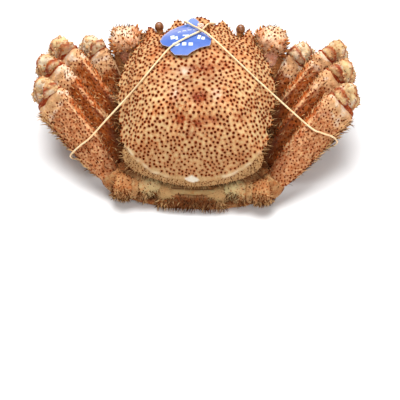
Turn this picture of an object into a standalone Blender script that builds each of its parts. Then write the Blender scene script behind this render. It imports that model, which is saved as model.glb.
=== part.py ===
"""A cooked horsehair crab, folded and bound with a rubber band that carries a plastic tag.

Metres, +Z up. The crab is modelled in its own level frame (+X its right, +Y its front, +Z its back) and
hangs on an empty that tips it nose up, the way it settles on its folded legs. Run it in Blender 4.5:
blender --background --python part.py
"""

import math

import bmesh
import bpy
from mathutils import Matrix, Vector

MM = 0.001

# ---------------------------------------------------------------- driving dimensions (millimetres)
NOSE_UP_DEG = 21.0  # how far the front is tipped up, resting on the folded claws
GROUND_AT = -62.0  # height of the ground under the level frame's origin, measured square to the ground
GAP = 0.4  # clearance between neighbouring shells

CARAPACE_HALF_WIDTH = 66.0
FRONT_Y = 74.0
REAR_Y = -69.0
REAR_DROP = 16.0
DOME_HEIGHT = 33.0
DOME_CENTRE_Y = 2.0
UNDERSIDE_Z = -24.0

COLOURS = {
    "shell": ((0.78, 0.46, 0.25), 0.5),
    "leg_shell": ((0.68, 0.33, 0.17), 0.5),
    "membrane": ((0.80, 0.66, 0.42), 0.45),
    "eye": ((0.20, 0.09, 0.05), 0.25),
    "band": ((0.90, 0.74, 0.50), 0.5),
    "tag": ((0.10, 0.20, 0.72), 0.35),
}


def clear_scene():
    for found in list(bpy.data.objects):
        bpy.data.objects.remove(found)


def material(name):
    made = bpy.data.materials.get(name) or bpy.data.materials.new(name)
    made.use_nodes = True
    colour, roughness = COLOURS[name]
    shader = made.node_tree.nodes["Principled BSDF"]
    shader.inputs["Base Color"].default_value = (*colour, 1.0)
    shader.inputs["Roughness"].default_value = roughness
    shader.inputs["Metallic"].default_value = 0.0
    return made


def ground_z(y, height=0.0):
    """The level frame's z at a height above the ground, for a point at y."""
    tip = math.radians(NOSE_UP_DEG)
    return (GROUND_AT + height - y * math.sin(tip)) / math.cos(tip)


class Crab:
    """The collection, and the empty that everything hangs on."""

    def __init__(self):
        self.collection = bpy.data.collections.new("horsehair_crab")
        bpy.context.scene.collection.children.link(self.collection)
        self.root = bpy.data.objects.new("crab", None)
        self.collection.objects.link(self.root)
        self.root.rotation_euler = (math.radians(NOSE_UP_DEG), 0.0, 0.0)
        self.root.location = (0.0, 0.0, -GROUND_AT * MM)

    def add(self, name, data, look):
        made = bpy.data.objects.new(name, data)
        made.data.materials.append(material(look))
        made.parent = self.root
        self.collection.objects.link(made)
        return made

    def add_mesh(self, name, bm, look):
        """Millimetre geometry into a finished object, cut flat where it would pass through the ground."""
        tip = math.radians(NOSE_UP_DEG)
        up = Vector((0.0, math.sin(tip), math.cos(tip)))
        every = bm.verts[:] + bm.edges[:] + bm.faces[:]
        cut = bmesh.ops.bisect_plane(bm, geom=every, plane_co=up * GROUND_AT, plane_no=-up, clear_outer=True)
        open_edges = [e for e in cut["geom_cut"] if isinstance(e, bmesh.types.BMEdge)]
        if open_edges:
            bmesh.ops.holes_fill(bm, edges=open_edges)
        bmesh.ops.recalc_face_normals(bm, faces=bm.faces)
        bmesh.ops.scale(bm, vec=(MM, MM, MM), verts=bm.verts)
        mesh = bpy.data.meshes.new(name)
        bm.to_mesh(mesh)
        bm.free()
        mesh.shade_smooth()
        mesh.set_sharp_from_angle(angle=math.radians(50))
        return self.add(name, mesh, look)


# ---------------------------------------------------------------- shape helpers
def oval_ring(centre, across, up, half_across, half_up, sides, power):
    """Points of a rounded-square ring: power 2 is an ellipse, larger is squarer."""
    points = []
    for k in range(sides):
        turn = 2.0 * math.pi * (k + 0.5) / sides
        c, s = math.cos(turn), math.sin(turn)
        u = math.copysign(abs(c) ** (2.0 / power), c) * half_across
        v = math.copysign(abs(s) ** (2.0 / power), s) * half_up
        points.append(centre + across * u + up * v)
    return points


def loft(bm, rings, apex=None):
    """Skins a list of rings, each with the same number of points; the last is capped, or closed on an apex."""
    rows = [[bm.verts.new(p) for p in ring] for ring in rings]
    sides = len(rows[0])
    for low, high in zip(rows, rows[1:]):
        for k in range(sides):
            n = (k + 1) % sides
            bm.faces.new((low[k], low[n], high[n], high[k]))
    bm.faces.new(rows[0])
    if apex is None:
        bm.faces.new(rows[-1])
        return
    top = bm.verts.new(apex)
    for k in range(sides):
        bm.faces.new((rows[-1][k], rows[-1][(k + 1) % sides], top))


def smooth_between(table, t):
    """Reads a table of (t, value, ...) rows at t, by straight interpolation."""
    for low, high in zip(table, table[1:]):
        if t <= high[0]:
            share = (t - low[0]) / (high[0] - low[0])
            return [a + (b - a) * share for a, b in zip(low[1:], high[1:])]
    return list(table[-1][1:])


def segment(crab, name, start, end, dorsal, profile, look, sides=12, power=2.6, bow=0.0):
    """A limb segment: rings square to its axis, from profile rows (t, half thickness, half height, lift)."""
    start, end, dorsal = Vector(start), Vector(end), Vector(dorsal)
    axis = (end - start).normalized()
    up = (dorsal - axis * dorsal.dot(axis)).normalized()
    across = axis.cross(up)
    rings = []
    for t, thick, high, lift in profile:
        centre = start.lerp(end, t) + up * (lift + bow * 4.0 * t * (1.0 - t))
        rings.append(oval_ring(centre, across, up, thick, high, sides, power))
    bm = bmesh.new()
    loft(bm, rings)
    return crab.add_mesh(name, bm, look)


def knuckle(crab, name, centre, axes, sizes, look, power=2.5, sides=12, rows=8):
    """A rounded block: a UV sphere squared up by a power, stretched along its own axes."""
    bm = bmesh.new()
    bmesh.ops.create_uvsphere(bm, u_segments=sides, v_segments=rows, radius=1.0)
    frame = Matrix((Vector(axes[0]), Vector(axes[1]), Vector(axes[2]))).transposed()
    for v in bm.verts:
        p = v.co
        reach = (abs(p.x) ** power + abs(p.y) ** power + abs(p.z) ** power) ** (1.0 / power)
        p = p / reach
        v.co = Vector(centre) + frame @ Vector((p.x * sizes[0], p.y * sizes[1], p.z * sizes[2]))
    return crab.add_mesh(name, bm, look)


# ---------------------------------------------------------------- carapace
# Margin of the right half, from the middle of the brow to the middle of the rear edge: (x, y, z), with the
# spines standing proud of the smooth line as (x, y, z) tips between their two feet.
BROW = [
    (0.0, 82.5, 1.6),
    (6.0, 80.5, 1.6),
    (11.0, 74.5, 0.8),
    (15.0, 74.8, 0.8),
    (19.8, 79.0, 1.8),
    (24.5, 73.0, 0.6),
    (29.5, 67.0, -0.5),
    (34.5, 63.5, -1.0),
    (39.5, 66.0, -0.5),
    (43.5, 71.0, 0.5),
    (46.5, 61.5, 0.0),
]
SIDE_LINE = [
    (46.5, 61.5),
    (56.5, 46.0),
    (64.5, 28.0),
    (66.5, 8.0),
    (63.5, -14.0),
    (59.8, -36.0),
    (56.0, -54.0),
]
SIDE_SPINES = 7
SPINE_STEPS = (0.0, 0.30, 0.46, 0.76)  # a spine's foot, its tip, its other foot and the notch after it
SPINE_LENGTH = 5.5
SPINE_LEAN = 0.55
SPINE_RISE = 1.5
BROW_REACH = 75.0
REAR_LINE = [
    (54.5, -56.2, 0.32),
    (46.5, -60.6, 0.60),
    (35.0, -64.0, 0.82),
    (23.0, -66.8, 0.95),
    (11.0, -68.8, 1.0),
    (0.0, -69.4, 1.0),
]


def along(line, share):
    """The point at a share of a polyline's length, and the outward normal there for a clockwise right side."""
    points = [Vector((p[0], p[1])) for p in line]
    lengths = [(b - a).length for a, b in zip(points, points[1:])]
    left = share * sum(lengths)
    for (a, b), length in zip(zip(points, points[1:]), lengths):
        if left <= length or b is points[-1]:
            way = (b - a).normalized()
            return a.lerp(b, min(1.0, left / length)), Vector((-way.y, way.x)) * -1.0
        left -= length


def rounded(line):
    """Chaikin corner cutting, so the side has no kinks where its points lie."""
    for _ in range(2):
        cut = [line[0]]
        for a, b in zip(line, line[1:]):
            cut.append(tuple(x * 0.75 + y * 0.25 for x, y in zip(a, b)))
            cut.append(tuple(x * 0.25 + y * 0.75 for x, y in zip(a, b)))
        cut.append(line[-1])
        line = cut
    return line


def right_margin():
    """Right half of the outline as (spine tip, its foot, the calm line of the back inside the notches)."""
    outline = []
    brow_x, brow_y = SIDE_LINE[0]
    for x, y, z in BROW[:-1]:
        calm_y = BROW_REACH - (BROW_REACH - brow_y) * (x / brow_x) ** 1.6
        outline.append((Vector((x, y, z)), Vector((x, min(y, BROW_REACH), z)), Vector((x, calm_y, z))))
    side = rounded(SIDE_LINE)
    for k in range(SIDE_SPINES):
        share = (k + 0.08) / SIDE_SPINES
        drop = -2.0 * (share**3)
        rows = []
        for step in SPINE_STEPS:
            flat, normal = along(side, share + step / SIDE_SPINES)
            rows.append((Vector((flat.x, flat.y, drop)), normal))
        tip, normal = rows[1]
        reach = SPINE_LENGTH * (1.0 if k > 1 else 0.6)
        point = tip + Vector((normal.x * reach, (normal.y + SPINE_LEAN) * reach, SPINE_RISE))
        for (foot, _), shown in zip(rows, (rows[0][0], point, rows[2][0], rows[3][0])):
            outline.append((shown, foot, foot))
    for x, y, share in REAR_LINE:
        point = Vector((x, y, -REAR_DROP * share))
        outline.append((point, point, point))
    return outline


# Swellings of the back: (x, y, radius across, radius along, height), each on both sides of the midline.
REGIONS = [
    (0.0, 38.0, 17.0, 16.0, 2.6),
    (0.0, -24.0, 12.0, 13.0, 2.8),
    (30.0, -14.0, 17.0, 24.0, 2.8),
    (44.0, 34.0, 10.0, 12.0, 1.8),
    (14.0, 6.0, 5.0, 8.0, -2.4),
    (16.0, -24.0, 4.5, 10.0, -2.0),
    (0.0, 10.0, 6.0, 6.0, -1.6),
]


def relief(x, y):
    height = 0.0
    for cx, cy, rx, ry, peak in REGIONS:
        for side in ((1.0,) if cx == 0.0 else (1.0, -1.0)):
            far = ((x - side * cx) / rx) ** 2 + ((y - cy) / ry) ** 2
            height += peak * math.exp(-far)
    return height


NOTCH_SHARE = 0.95  # the notches of the brow reach no further in than this share of the way out
BACK_RINGS = (0.965, 0.90, 0.80, 0.68, 0.55, 0.42, 0.28, 0.14)
FLANK_RINGS = ((0.965, 0.22), (0.89, 0.52), (0.79, 0.82), (0.70, 1.0))


def carapace(crab):
    right = right_margin()
    left = [tuple(Vector((-p.x, p.y, p.z)) for p in row) for row in right[-2:0:-1]]
    outline = right + left
    middle = Vector((0.0, DOME_CENTRE_Y, 0.0))
    bm = bmesh.new()

    def inner(foot, calm, share):
        edge = foot if share > NOTCH_SHARE else calm
        return edge, middle.lerp(Vector((edge.x, edge.y, 0.0)), share)

    def back_ring(share):
        points = []
        for _, foot, calm in outline:
            edge, flat = inner(foot, calm, share)
            rise = DOME_HEIGHT * (1.0 - share**2.5)
            swell = relief(flat.x, flat.y) * min(1.0, (1.0 - share) * 5.0)
            points.append(Vector((flat.x, flat.y, edge.z * share**3 + rise + swell)))
        return points

    def flank_ring(share, down):
        points = []
        for _, foot, calm in outline:
            edge, flat = inner(foot, calm, share)
            points.append(Vector((flat.x, flat.y, edge.z + (UNDERSIDE_Z - edge.z) * down)))
        return points

    rings = [flank_ring(*row) for row in reversed(FLANK_RINGS)]
    rings.append([tip for tip, _, _ in outline])
    rings.extend(back_ring(share) for share in BACK_RINGS)
    crown = Vector((middle.x, middle.y, DOME_HEIGHT + relief(middle.x, middle.y)))
    loft(bm, rings, apex=crown)
    return crab.add_mesh("carapace", bm, "shell")


# ---------------------------------------------------------------- the body under the carapace
STERNUM_SECTIONS = [
    (-61.0, 12.0, 4.8),
    (-56.0, 20.0, 6.3),
    (-45.0, 25.0, 8.0),
    (-30.0, 26.0, 9.4),
    (-10.0, 26.0, 10.6),
    (12.0, 26.0, 10.6),
    (32.0, 22.0, 10.0),
    (44.0, 15.0, 8.5),
    (49.0, 8.0, 6.0),
]  # (y, half width, half depth)


def sternum(crab):
    """The breastplate, between the two rows of leg sockets."""
    rings = []
    for y, half_width, half_depth in STERNUM_SECTIONS:
        centre = Vector((0.0, y, UNDERSIDE_Z - GAP - half_depth))
        rings.append(oval_ring(centre, Vector((1, 0, 0)), Vector((0, 0, 1)), half_width, half_depth, 14, 3.0))
    bm = bmesh.new()
    loft(bm, rings)
    return crab.add_mesh("sternum", bm, "membrane")


# The tail flap's path, curling from behind the carapace round the rear and forward under the breastplate:
# (y, z, half width, half thickness)
TAIL_PATH = [
    (-65.5, -22.5, 21.5, 1.6),
    (-70.5, -22.3, 24.0, 2.6),
    (-75.5, -24.2, 25.5, 3.0),
    (-79.2, -27.8, 28.0, 3.4),
    (-80.4, -31.6, 30.0, 3.3),
    (-77.6, -35.0, 30.5, 2.6),
    (-72.0, -36.6, 27.0, 2.3),
    (-64.0, -39.0, 19.0, 2.1),
    (-50.0, -43.2, 14.5, 2.0),
    (-30.0, -47.2, 11.5, 2.0),
    (-12.0, -49.6, 9.0, 1.9),
    (0.0, -49.6, 6.5, 1.7),
    (7.0, -49.2, 3.5, 1.3),
]


def tail(crab):
    path = [Vector((0.0, y, z)) for y, z, _, _ in TAIL_PATH]
    rings = []
    for k, (y, z, half_width, half_thick) in enumerate(TAIL_PATH):
        ahead = path[min(k + 1, len(path) - 1)] - path[max(k - 1, 0)]
        out = ahead.normalized().cross(Vector((1, 0, 0)))
        rings.append(oval_ring(path[k], Vector((1, 0, 0)), out, half_width, half_thick, 12, 3.0))
    bm = bmesh.new()
    loft(bm, rings)
    return crab.add_mesh("abdomen", bm, "membrane")


def eyes(crab):
    for side, name in ((-1, "eye_left"), (1, "eye_right")):
        foot = Vector((side * 34.4, 67.2, -4.2))
        tip = Vector((side * 35.6, 71.6, 7.0))
        profile = [
            (0.0, 1.8, 1.8, 0.0),
            (0.1, 2.8, 2.8, 0.0),
            (0.32, 3.1, 3.1, 0.0),
            (0.48, 3.6, 3.6, 0.0),
            (0.66, 4.0, 4.0, 0.0),
            (0.86, 3.2, 3.2, 0.0),
            (0.96, 2.0, 2.0, 0.0),
            (1.0, 1.0, 1.0, 0.0),
        ]
        segment(crab, name, foot, tip, (0, 0, 1), profile, "eye", sides=12, power=2.0)


def mouthparts(crab):
    """The two third maxillipeds that shut over the mouth like doors."""
    for side, name in ((-1, "maxilliped_left"), (1, "maxilliped_right")):
        top, foot = Vector((side * 9.0, 57.0, -25.5)), Vector((side * 7.5, 52.5, -44.0))
        profile = [
            (0.0, 4.5, 1.6, 0.0),
            (0.1, 7.0, 2.6, 0.0),
            (0.55, 7.4, 3.0, 0.0),
            (0.9, 5.6, 2.4, 0.0),
            (1.0, 4.0, 1.6, 0.0),
        ]
        segment(crab, name, top, foot, (0, 1, 0), profile, "membrane", sides=10, power=3.0)


# ---------------------------------------------------------------- walking legs
# Joints of the folded legs, front to rear, in the level frame, for the right side (the left is mirrored, but
# for its knees). Sockets are on the breastplate, a hip and a knee are the two ends of the long merus, an ankle
# is the end of the propodus and a toe the tip of the dactylus.
SOCKETS = {1: (31.0, 12.0, -36.0), 2: (29.0, -9.0, -36.0), 3: (28.0, -30.0, -36.0)}
HIPS = {1: (51.0, -1.0, -39.0), 2: (57.0, -21.0, -35.0), 3: (61.0, -40.0, -30.5), 4: (68.0, -61.5, -20.0)}
ANKLES = {1: (66.0, 26.0, -57.0), 2: (80.0, 6.0, -54.0), 3: (84.0, -15.0, -48.0), 4: (82.0, -42.0, -42.0)}
TOES = {1: (30.0, 30.0, -66.0), 2: (40.0, 12.0, -62.0), 3: (44.0, -9.0, -56.0), 4: (44.0, -32.0, -50.0)}
RIGHT_KNEES = {1: (85.7, 55.8, -23.5), 2: (113.4, 55.5, -18.8), 3: (118.4, 33.6, -13.0), 4: (119.5, 6.5, -5.0)}
LEFT_KNEES = {1: (-92.2, 57.3, -23.4), 2: (-117.5, 51.4, -19.4), 3: (-125.6, 31.5, -14.6), 4: (-121.5, 2.6, -4.4)}
SHOULDER = (30.0, 32.0, -36.0)
ELBOW = (57.8, 45.2, -27.0)
DORSAL = Vector((-0.69, 0.43, 0.58))  # the upper edges of the meri lean in over the back
FOLD = Vector((0.34, -0.14, -0.93))  # the lower legs hang below the knees

COXA_PROFILE = [
    (0.0, 5.6, 6.0, 0.0),
    (0.1, 7.8, 8.6, 0.0),
    (0.42, 8.0, 9.0, 0.0),
    (0.52, 7.2, 8.2, 0.0),
    (0.62, 7.6, 8.8, 0.0),
    (0.88, 6.4, 8.6, 0.0),
    (1.0, 4.4, 6.4, 0.0),
]
REAR_COXA = ((26.8, -64.8, -28.6), (46.9, -69.4, -26.0))
REAR_ISCHIUM = ((49.8, -69.6, -25.0), (65.4, -68.2, -21.2))
REAR_COXA_PROFILE = [
    (0.0, 6.8, 7.4, 0.0),
    (0.12, 9.4, 9.8, 0.0),
    (0.5, 10.4, 10.7, 0.0),
    (0.88, 9.6, 9.9, 0.0),
    (1.0, 7.2, 7.6, 0.0),
]
MERUS_PROFILE = [
    (0.0, 4.4, 6.4, 0.0),
    (0.04, 5.8, 8.8, 0.0),
    (0.2, 6.4, 11.2, -0.3),
    (0.45, 6.6, 13.4, -0.6),
    (0.75, 6.6, 15.0, -1.2),
    (0.93, 6.5, 14.6, -1.2),
    (1.0, 5.4, 12.2, -0.6),
]
PROPODUS_PROFILE = [
    (0.0, 2.6, 3.6, 0.0),
    (0.07, 4.6, 6.4, 0.0),
    (0.3, 5.4, 8.0, 0.0),
    (0.65, 5.4, 7.8, 0.0),
    (0.92, 4.6, 6.2, 0.0),
    (1.0, 3.2, 4.4, 0.0),
]
DACTYL_PROFILE = [
    (0.0, 2.4, 2.8, 0.0),
    (0.08, 3.6, 4.2, 0.0),
    (0.35, 3.3, 3.9, 0.0),
    (0.7, 2.3, 2.7, 0.0),
    (0.92, 1.1, 1.3, 0.0),
    (1.0, 0.4, 0.5, 0.0),
]
# The bent carpus, as rings fanned about the inside of the knee: (turn in degrees, distance of the ring's
# middle from the pivot, half height, half thickness)
KNEE_FAN = [
    (0.0, 13.2, 11.8, 5.4),
    (8.0, 13.4, 13.2, 6.8),
    (36.0, 12.6, 12.2, 7.4),
    (66.0, 10.6, 10.0, 7.2),
    (94.0, 9.0, 8.2, 6.8),
    (112.0, 8.2, 7.0, 6.0),
    (119.0, 8.0, 5.8, 4.8),
]
FRONT_LEG_SCALE = 0.9  # the first walking leg is slighter than the rest
HIP_GAPS = {1: 9.5, 2: 6.8, 3: 6.8}  # between the end of a coxa and its merus, for the bend there
REAR_LEG_FLARE = 1.8  # and the last one's merus widens more, along its lower edge


def mirrored(point, side):
    return Vector((point[0] * side, point[1], point[2]))


def square_to(direction, axis):
    return (direction - axis * direction.dot(axis)).normalized()


def carpus(crab, name, start, axis, fold):
    """The knee: returns where the next segment starts, and its way there."""
    across = axis.cross(fold)
    pivot = start + fold * KNEE_FAN[0][1]
    rings = []
    for turn, reach, high, thick in KNEE_FAN:
        out = axis * math.sin(math.radians(turn)) - fold * math.cos(math.radians(turn))
        rings.append(oval_ring(pivot + out * reach, across, out, thick, high, 12, 2.6))
    bm = bmesh.new()
    loft(bm, rings)
    crab.add_mesh(name, bm, "leg_shell")
    turn, reach = math.radians(KNEE_FAN[-1][0]), KNEE_FAN[-1][1]
    out = axis * math.sin(turn) - fold * math.cos(turn)
    way = axis * math.cos(turn) + fold * math.sin(turn)
    return pivot + out * reach, way


def leg(crab, number, side):
    tag = f"{'right' if side > 0 else 'left'}_{number}"
    hip, ankle, toe = (mirrored(joints[number], side) for joints in (HIPS, ANKLES, TOES))
    knee = Vector((RIGHT_KNEES if side > 0 else LEFT_KNEES)[number])
    axis = (knee - hip).normalized()
    up = square_to(mirrored(DORSAL, side), axis)
    fold = square_to(mirrored(FOLD, side), axis)

    if number == 4:
        start, end = (mirrored(p, side) for p in REAR_COXA)
        segment(crab, f"coxa_{tag}", start, end, (0, 0, 1), REAR_COXA_PROFILE, "membrane", sides=12)
        start, end = (mirrored(p, side) for p in REAR_ISCHIUM)
        segment(crab, f"ischium_{tag}", start, end, (0, 0, 1), REAR_COXA_PROFILE, "leg_shell", sides=12)
    else:
        socket = mirrored(SOCKETS[number], side)
        stop = hip - (hip - socket).normalized() * HIP_GAPS[number] - axis * 3.5
        segment(crab, f"coxa_{tag}", socket, stop, up, COXA_PROFILE, "leg_shell", sides=10)
    size = FRONT_LEG_SCALE if number == 1 else 1.0
    flare = REAR_LEG_FLARE if number == 4 else 0.0
    rows = []
    for t, thick, high, lift in MERUS_PROFILE:
        rows.append((t, thick * size, high * size + flare * t * t, lift - flare * t * t))
    segment(crab, f"merus_{tag}", hip, knee, up, rows, "leg_shell", sides=12, power=2.8)
    end, way = carpus(crab, f"carpus_{tag}", knee + axis * GAP, axis, fold)
    shin = end + way * 4.0
    segment(crab, f"propodus_{tag}", shin, ankle, -fold, PROPODUS_PROFILE, "leg_shell", sides=10)
    foot = ankle + (toe - ankle).normalized() * 3.4
    segment(crab, f"dactylus_{tag}", foot, toe, -fold, DACTYL_PROFILE, "leg_shell", sides=8, power=2.2)


# ---------------------------------------------------------------- claws
PALM_START = (53.0, 71.0, -21.0)
PALM_END = (25.0, 72.0, -69.0)
PALM_PROFILE = [
    (0.0, 6.5, 10.0, 0.0),
    (0.1, 9.8, 14.6, 0.0),
    (0.45, 11.6, 18.2, 0.0),
    (0.8, 11.2, 18.0, 0.0),
    (0.98, 9.6, 16.4, 0.0),
    (1.03, 7.0, 7.2, 8.6),
    (1.25, 5.4, 5.8, 7.8),
    (1.45, 3.2, 3.6, 5.6),
    (1.55, 1.0, 1.2, 3.4),
]
RIGHT_WRIST = (62.6, 66.0, -9.5)
LEFT_WRIST = (-64.7, 62.0, -9.5)
WRIST_SIZES = (13.4, 12.4, 13.0)
ARM_PROFILE = [
    (0.0, 6.0, 6.0, 0.0),
    (0.1, 8.8, 8.8, 0.0),
    (0.4, 8.2, 8.4, 0.0),
    (0.55, 9.4, 9.8, 0.0),
    (0.9, 9.6, 10.0, 0.0),
    (1.0, 7.5, 8.2, 0.0),
]
FINGER_PROFILE = [
    (1.035, 4.6, 4.8, -8.0),
    (1.08, 6.4, 6.8, -8.2),
    (1.25, 5.2, 5.8, -7.0),
    (1.45, 3.0, 3.4, -3.6),
    (1.54, 1.0, 1.2, -1.0),
]


def cheliped(crab, side):
    tag = "right" if side > 0 else "left"
    shoulder, elbow = mirrored(SHOULDER, side), mirrored(ELBOW, side)
    segment(crab, f"claw_arm_{tag}", shoulder, elbow, (0, 0, 1), ARM_PROFILE, "leg_shell", sides=10)
    wrist = RIGHT_WRIST if side > 0 else LEFT_WRIST
    own_axes = ((side, 0, 0), (0, 1, 0), (0, 0, 1))
    knuckle(crab, f"claw_wrist_{tag}", wrist, own_axes, WRIST_SIZES, "leg_shell", power=2.9, sides=14, rows=10)
    start, end = mirrored(PALM_START, side), mirrored(PALM_END, side)
    lower_edge = mirrored((0.85, 0.0, -0.53), side)
    segment(crab, f"claw_palm_{tag}", start, end, lower_edge, PALM_PROFILE, "leg_shell", sides=14, power=2.4)
    segment(crab, f"claw_finger_{tag}", start, end, lower_edge, FINGER_PROFILE, "leg_shell", sides=10, power=2.2)


# ---------------------------------------------------------------- the tag and the rubber band
# A thin plastic badge bent over the slope behind the brow: its outline in the level frame, its height and tilt
# in the middle and the radii of its bends. The neck, past TAG_NECK_Y, stands up straight from the bend.
TAG_THICKNESS = 1.0
TAG_HEIGHT = 28.3
TAG_TILT = (0.094, -0.52)
TAG_BENDS = (91.0, 48.0)
TAG_NECK_Y = 60.0
TAG_NECK_SLOPE = -0.42
TAG_CENTRE = (-8.0, 44.0)
TAG_OUTLINE = [
    (-31.0, 41.3),
    (-29.6, 47.9),
    (-24.2, 56.9),
    (-17.8, 61.9),
    (-10.4, 65.0),
    (-9.5, 70.7),
    (-7.1, 73.3),
    (-3.7, 72.7),
    (-0.4, 68.4),
    (0.9, 62.5),
    (1.3, 53.8),
    (5.7, 49.8),
    (10.9, 43.0),
    (11.3, 39.8),
    (10.5, 34.3),
    (2.6, 31.0),
    (-3.2, 26.7),
    (-7.0, 23.0),
    (-17.2, 23.8),
    (-20.7, 27.9),
    (-22.4, 32.8),
    (-28.4, 36.1),
]
# The band's middle line, a closed loop through these points: from the crossing on the tag's neck back over the
# left rear leg, under the belly, up over the right rear leg to the crossing again, then hooked round the brow.
BAND_RADIUS = 0.75
BAND_STEPS = 3
BAND_PATH = [
    (1.1, 50.6, 27.6),
    (-7.7, 42.3, 31.8),
    (-20.1, 32.4, 33.2),
    (-31.0, 20.2, 29.4),
    (-41.6, 6.9, 25.3),
    (-53.2, -2.9, 15.3),
    (-72.0, -21.6, 5.2),
    (-85.4, -35.0, -2.4),
    (-95.4, -40.7, -8.8),
    (-104.0, -45.0, -19.0),
    (-102.0, -38.5, -40.0),
    (-91.0, -30.5, -49.5),
    (-60.0, -26.0, -54.2),
    (0.0, -22.0, -55.8),
    (60.0, -24.0, -54.6),
    (98.0, -24.0, -48.5),
    (112.0, -21.0, -39.5),
    (119.8, -23.5, -21.0),
    (115.2, -22.6, -10.6),
    (103.5, -22.2, -3.4),
    (93.1, -18.7, 1.2),
    (55.0, 8.8, 16.0),
    (33.6, 23.1, 27.8),
    (11.0, 42.3, 33.0),
    (1.4, 51.2, 30.0),
    (-4.2, 58.8, 22.6),
    (-11.4, 65.4, 19.2),
    (-12.6, 71.5, 9.0),
    (-12.2, 77.5, -1.0),
    (0.0, 76.5, -7.5),
    (12.8, 77.5, -1.0),
    (7.6, 71.6, 7.6),
    (4.3, 59.6, 19.4),
]


def tag_height(x, y):
    u, v = x - TAG_CENTRE[0], min(y, TAG_NECK_Y) - TAG_CENTRE[1]
    bent = TAG_HEIGHT + TAG_TILT[0] * u + TAG_TILT[1] * v - u * u / (2 * TAG_BENDS[0]) - v * v / (2 * TAG_BENDS[1])
    return bent + TAG_NECK_SLOPE * max(0.0, y - TAG_NECK_Y)


def tag(crab):
    middle = Vector(TAG_CENTRE)

    def ring(share, lift):
        points = []
        for corner in TAG_OUTLINE:
            flat = middle.lerp(Vector(corner), share)
            points.append(Vector((flat.x, flat.y, tag_height(flat.x, flat.y) + lift)))
        return points

    layers = [(0.33, 0.0), (0.7, 0.0), (1.0, 0.0), (1.0, TAG_THICKNESS), (0.7, TAG_THICKNESS), (0.33, TAG_THICKNESS)]
    bm = bmesh.new()
    top = Vector((middle.x, middle.y, tag_height(middle.x, middle.y) + TAG_THICKNESS))
    loft(bm, [ring(*layer) for layer in layers], apex=top)
    return crab.add_mesh("tag", bm, "tag")


def rounded_loop(points, steps):
    """Catmull-Rom points round a closed loop."""
    count = len(points)
    line = []
    for k in range(count):
        a, b, c, d = (points[(k + j) % count] for j in (-1, 0, 1, 2))
        for step in range(steps):
            t = step / steps
            squared = (2 * a - 5 * b + 4 * c - d) * t**2
            cubed = (3 * b - a - 3 * c + d) * t**3
            line.append(0.5 * (2 * b + (c - a) * t + squared + cubed))
    return line


def band(crab):
    curve = bpy.data.curves.new("band", "CURVE")
    curve.dimensions = "3D"
    curve.bevel_depth = BAND_RADIUS * MM
    curve.bevel_resolution = 1
    curve.twist_mode = "MINIMUM"
    spline = curve.splines.new("POLY")
    line = rounded_loop([Vector(p) for p in BAND_PATH], BAND_STEPS)
    spline.points.add(len(line) - 1)
    for found, point in zip(spline.points, line):
        found.co = (*(point * MM), 1.0)
    spline.use_cyclic_u = True
    return crab.add("band", curve, "band")


def centre_over_origin(crab):
    """Moves the crab so that its bounding box stands with the middle of its base on the origin."""
    bpy.context.view_layer.update()
    seen = bpy.context.evaluated_depsgraph_get()
    corners = []
    for made in crab.collection.objects:
        if made.type != "EMPTY":
            mesh = made.evaluated_get(seen).to_mesh()
            corners.extend(made.matrix_world @ v.co for v in mesh.vertices)
            made.evaluated_get(seen).to_mesh_clear()
    for axis in (0, 1):
        low, high = min(p[axis] for p in corners), max(p[axis] for p in corners)
        crab.root.location[axis] -= (low + high) / 2


def build():
    clear_scene()
    crab = Crab()
    carapace(crab)
    sternum(crab)
    tail(crab)
    eyes(crab)
    mouthparts(crab)
    for side in (-1, 1):
        for number in HIPS:
            leg(crab, number, side)
        cheliped(crab, side)
    tag(crab)
    band(crab)
    centre_over_origin(crab)


build()
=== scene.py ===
"""Looks of a cooked horsehair crab, folded and bound with a rubber band that holds a plastic tag.

The tag has plain white shapes in place of its lettering. Every solid of the frame gets a dense skin with
its relief, and the grains, spines and bristles of the shell stand on the skins as mesh. Shapes are worked out in
the crab's own level frame, in millimetres: +X its right, +Y its front, +Z its back. The crab stands in the frame
tipped nose up.
"""

import math

import bmesh
import bpy
import numpy as np
from mathutils import Matrix, Vector, kdtree


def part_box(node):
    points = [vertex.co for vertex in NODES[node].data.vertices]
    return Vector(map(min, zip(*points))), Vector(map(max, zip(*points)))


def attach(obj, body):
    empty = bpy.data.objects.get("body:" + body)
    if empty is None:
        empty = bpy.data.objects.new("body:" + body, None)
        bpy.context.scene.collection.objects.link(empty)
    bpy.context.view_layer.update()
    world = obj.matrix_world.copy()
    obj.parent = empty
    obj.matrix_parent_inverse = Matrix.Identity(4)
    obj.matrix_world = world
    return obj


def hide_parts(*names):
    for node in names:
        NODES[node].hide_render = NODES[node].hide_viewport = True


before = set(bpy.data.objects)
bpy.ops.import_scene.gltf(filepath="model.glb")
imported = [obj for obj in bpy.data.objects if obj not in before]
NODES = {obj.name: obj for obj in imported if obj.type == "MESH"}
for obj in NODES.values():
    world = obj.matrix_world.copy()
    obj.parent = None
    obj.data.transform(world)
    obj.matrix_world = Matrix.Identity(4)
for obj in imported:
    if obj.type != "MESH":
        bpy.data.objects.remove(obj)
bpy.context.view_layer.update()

# ---- the level frame
MM = 0.001
NOSE_UP = math.radians(21.0)
GROUND = 62.0  # the level frame's origin stands this far above the ground
BROW_TIP = (0.0, 82.5, 1.6)
COS, SIN = math.cos(NOSE_UP), math.sin(NOSE_UP)
TURN = np.array(((1.0, 0.0, 0.0), (0.0, COS, -SIN), (0.0, SIN, COS)))
BACK_LOW, BACK_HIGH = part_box("carapace")
ORIGIN = np.array(
    (
        (BACK_LOW.x + BACK_HIGH.x) / 2,
        BACK_HIGH.y - (BROW_TIP[1] * COS - BROW_TIP[2] * SIN) * MM,
        GROUND * MM,
    )
)


def to_world(points):
    return points @ TURN.T * MM + ORIGIN


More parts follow.
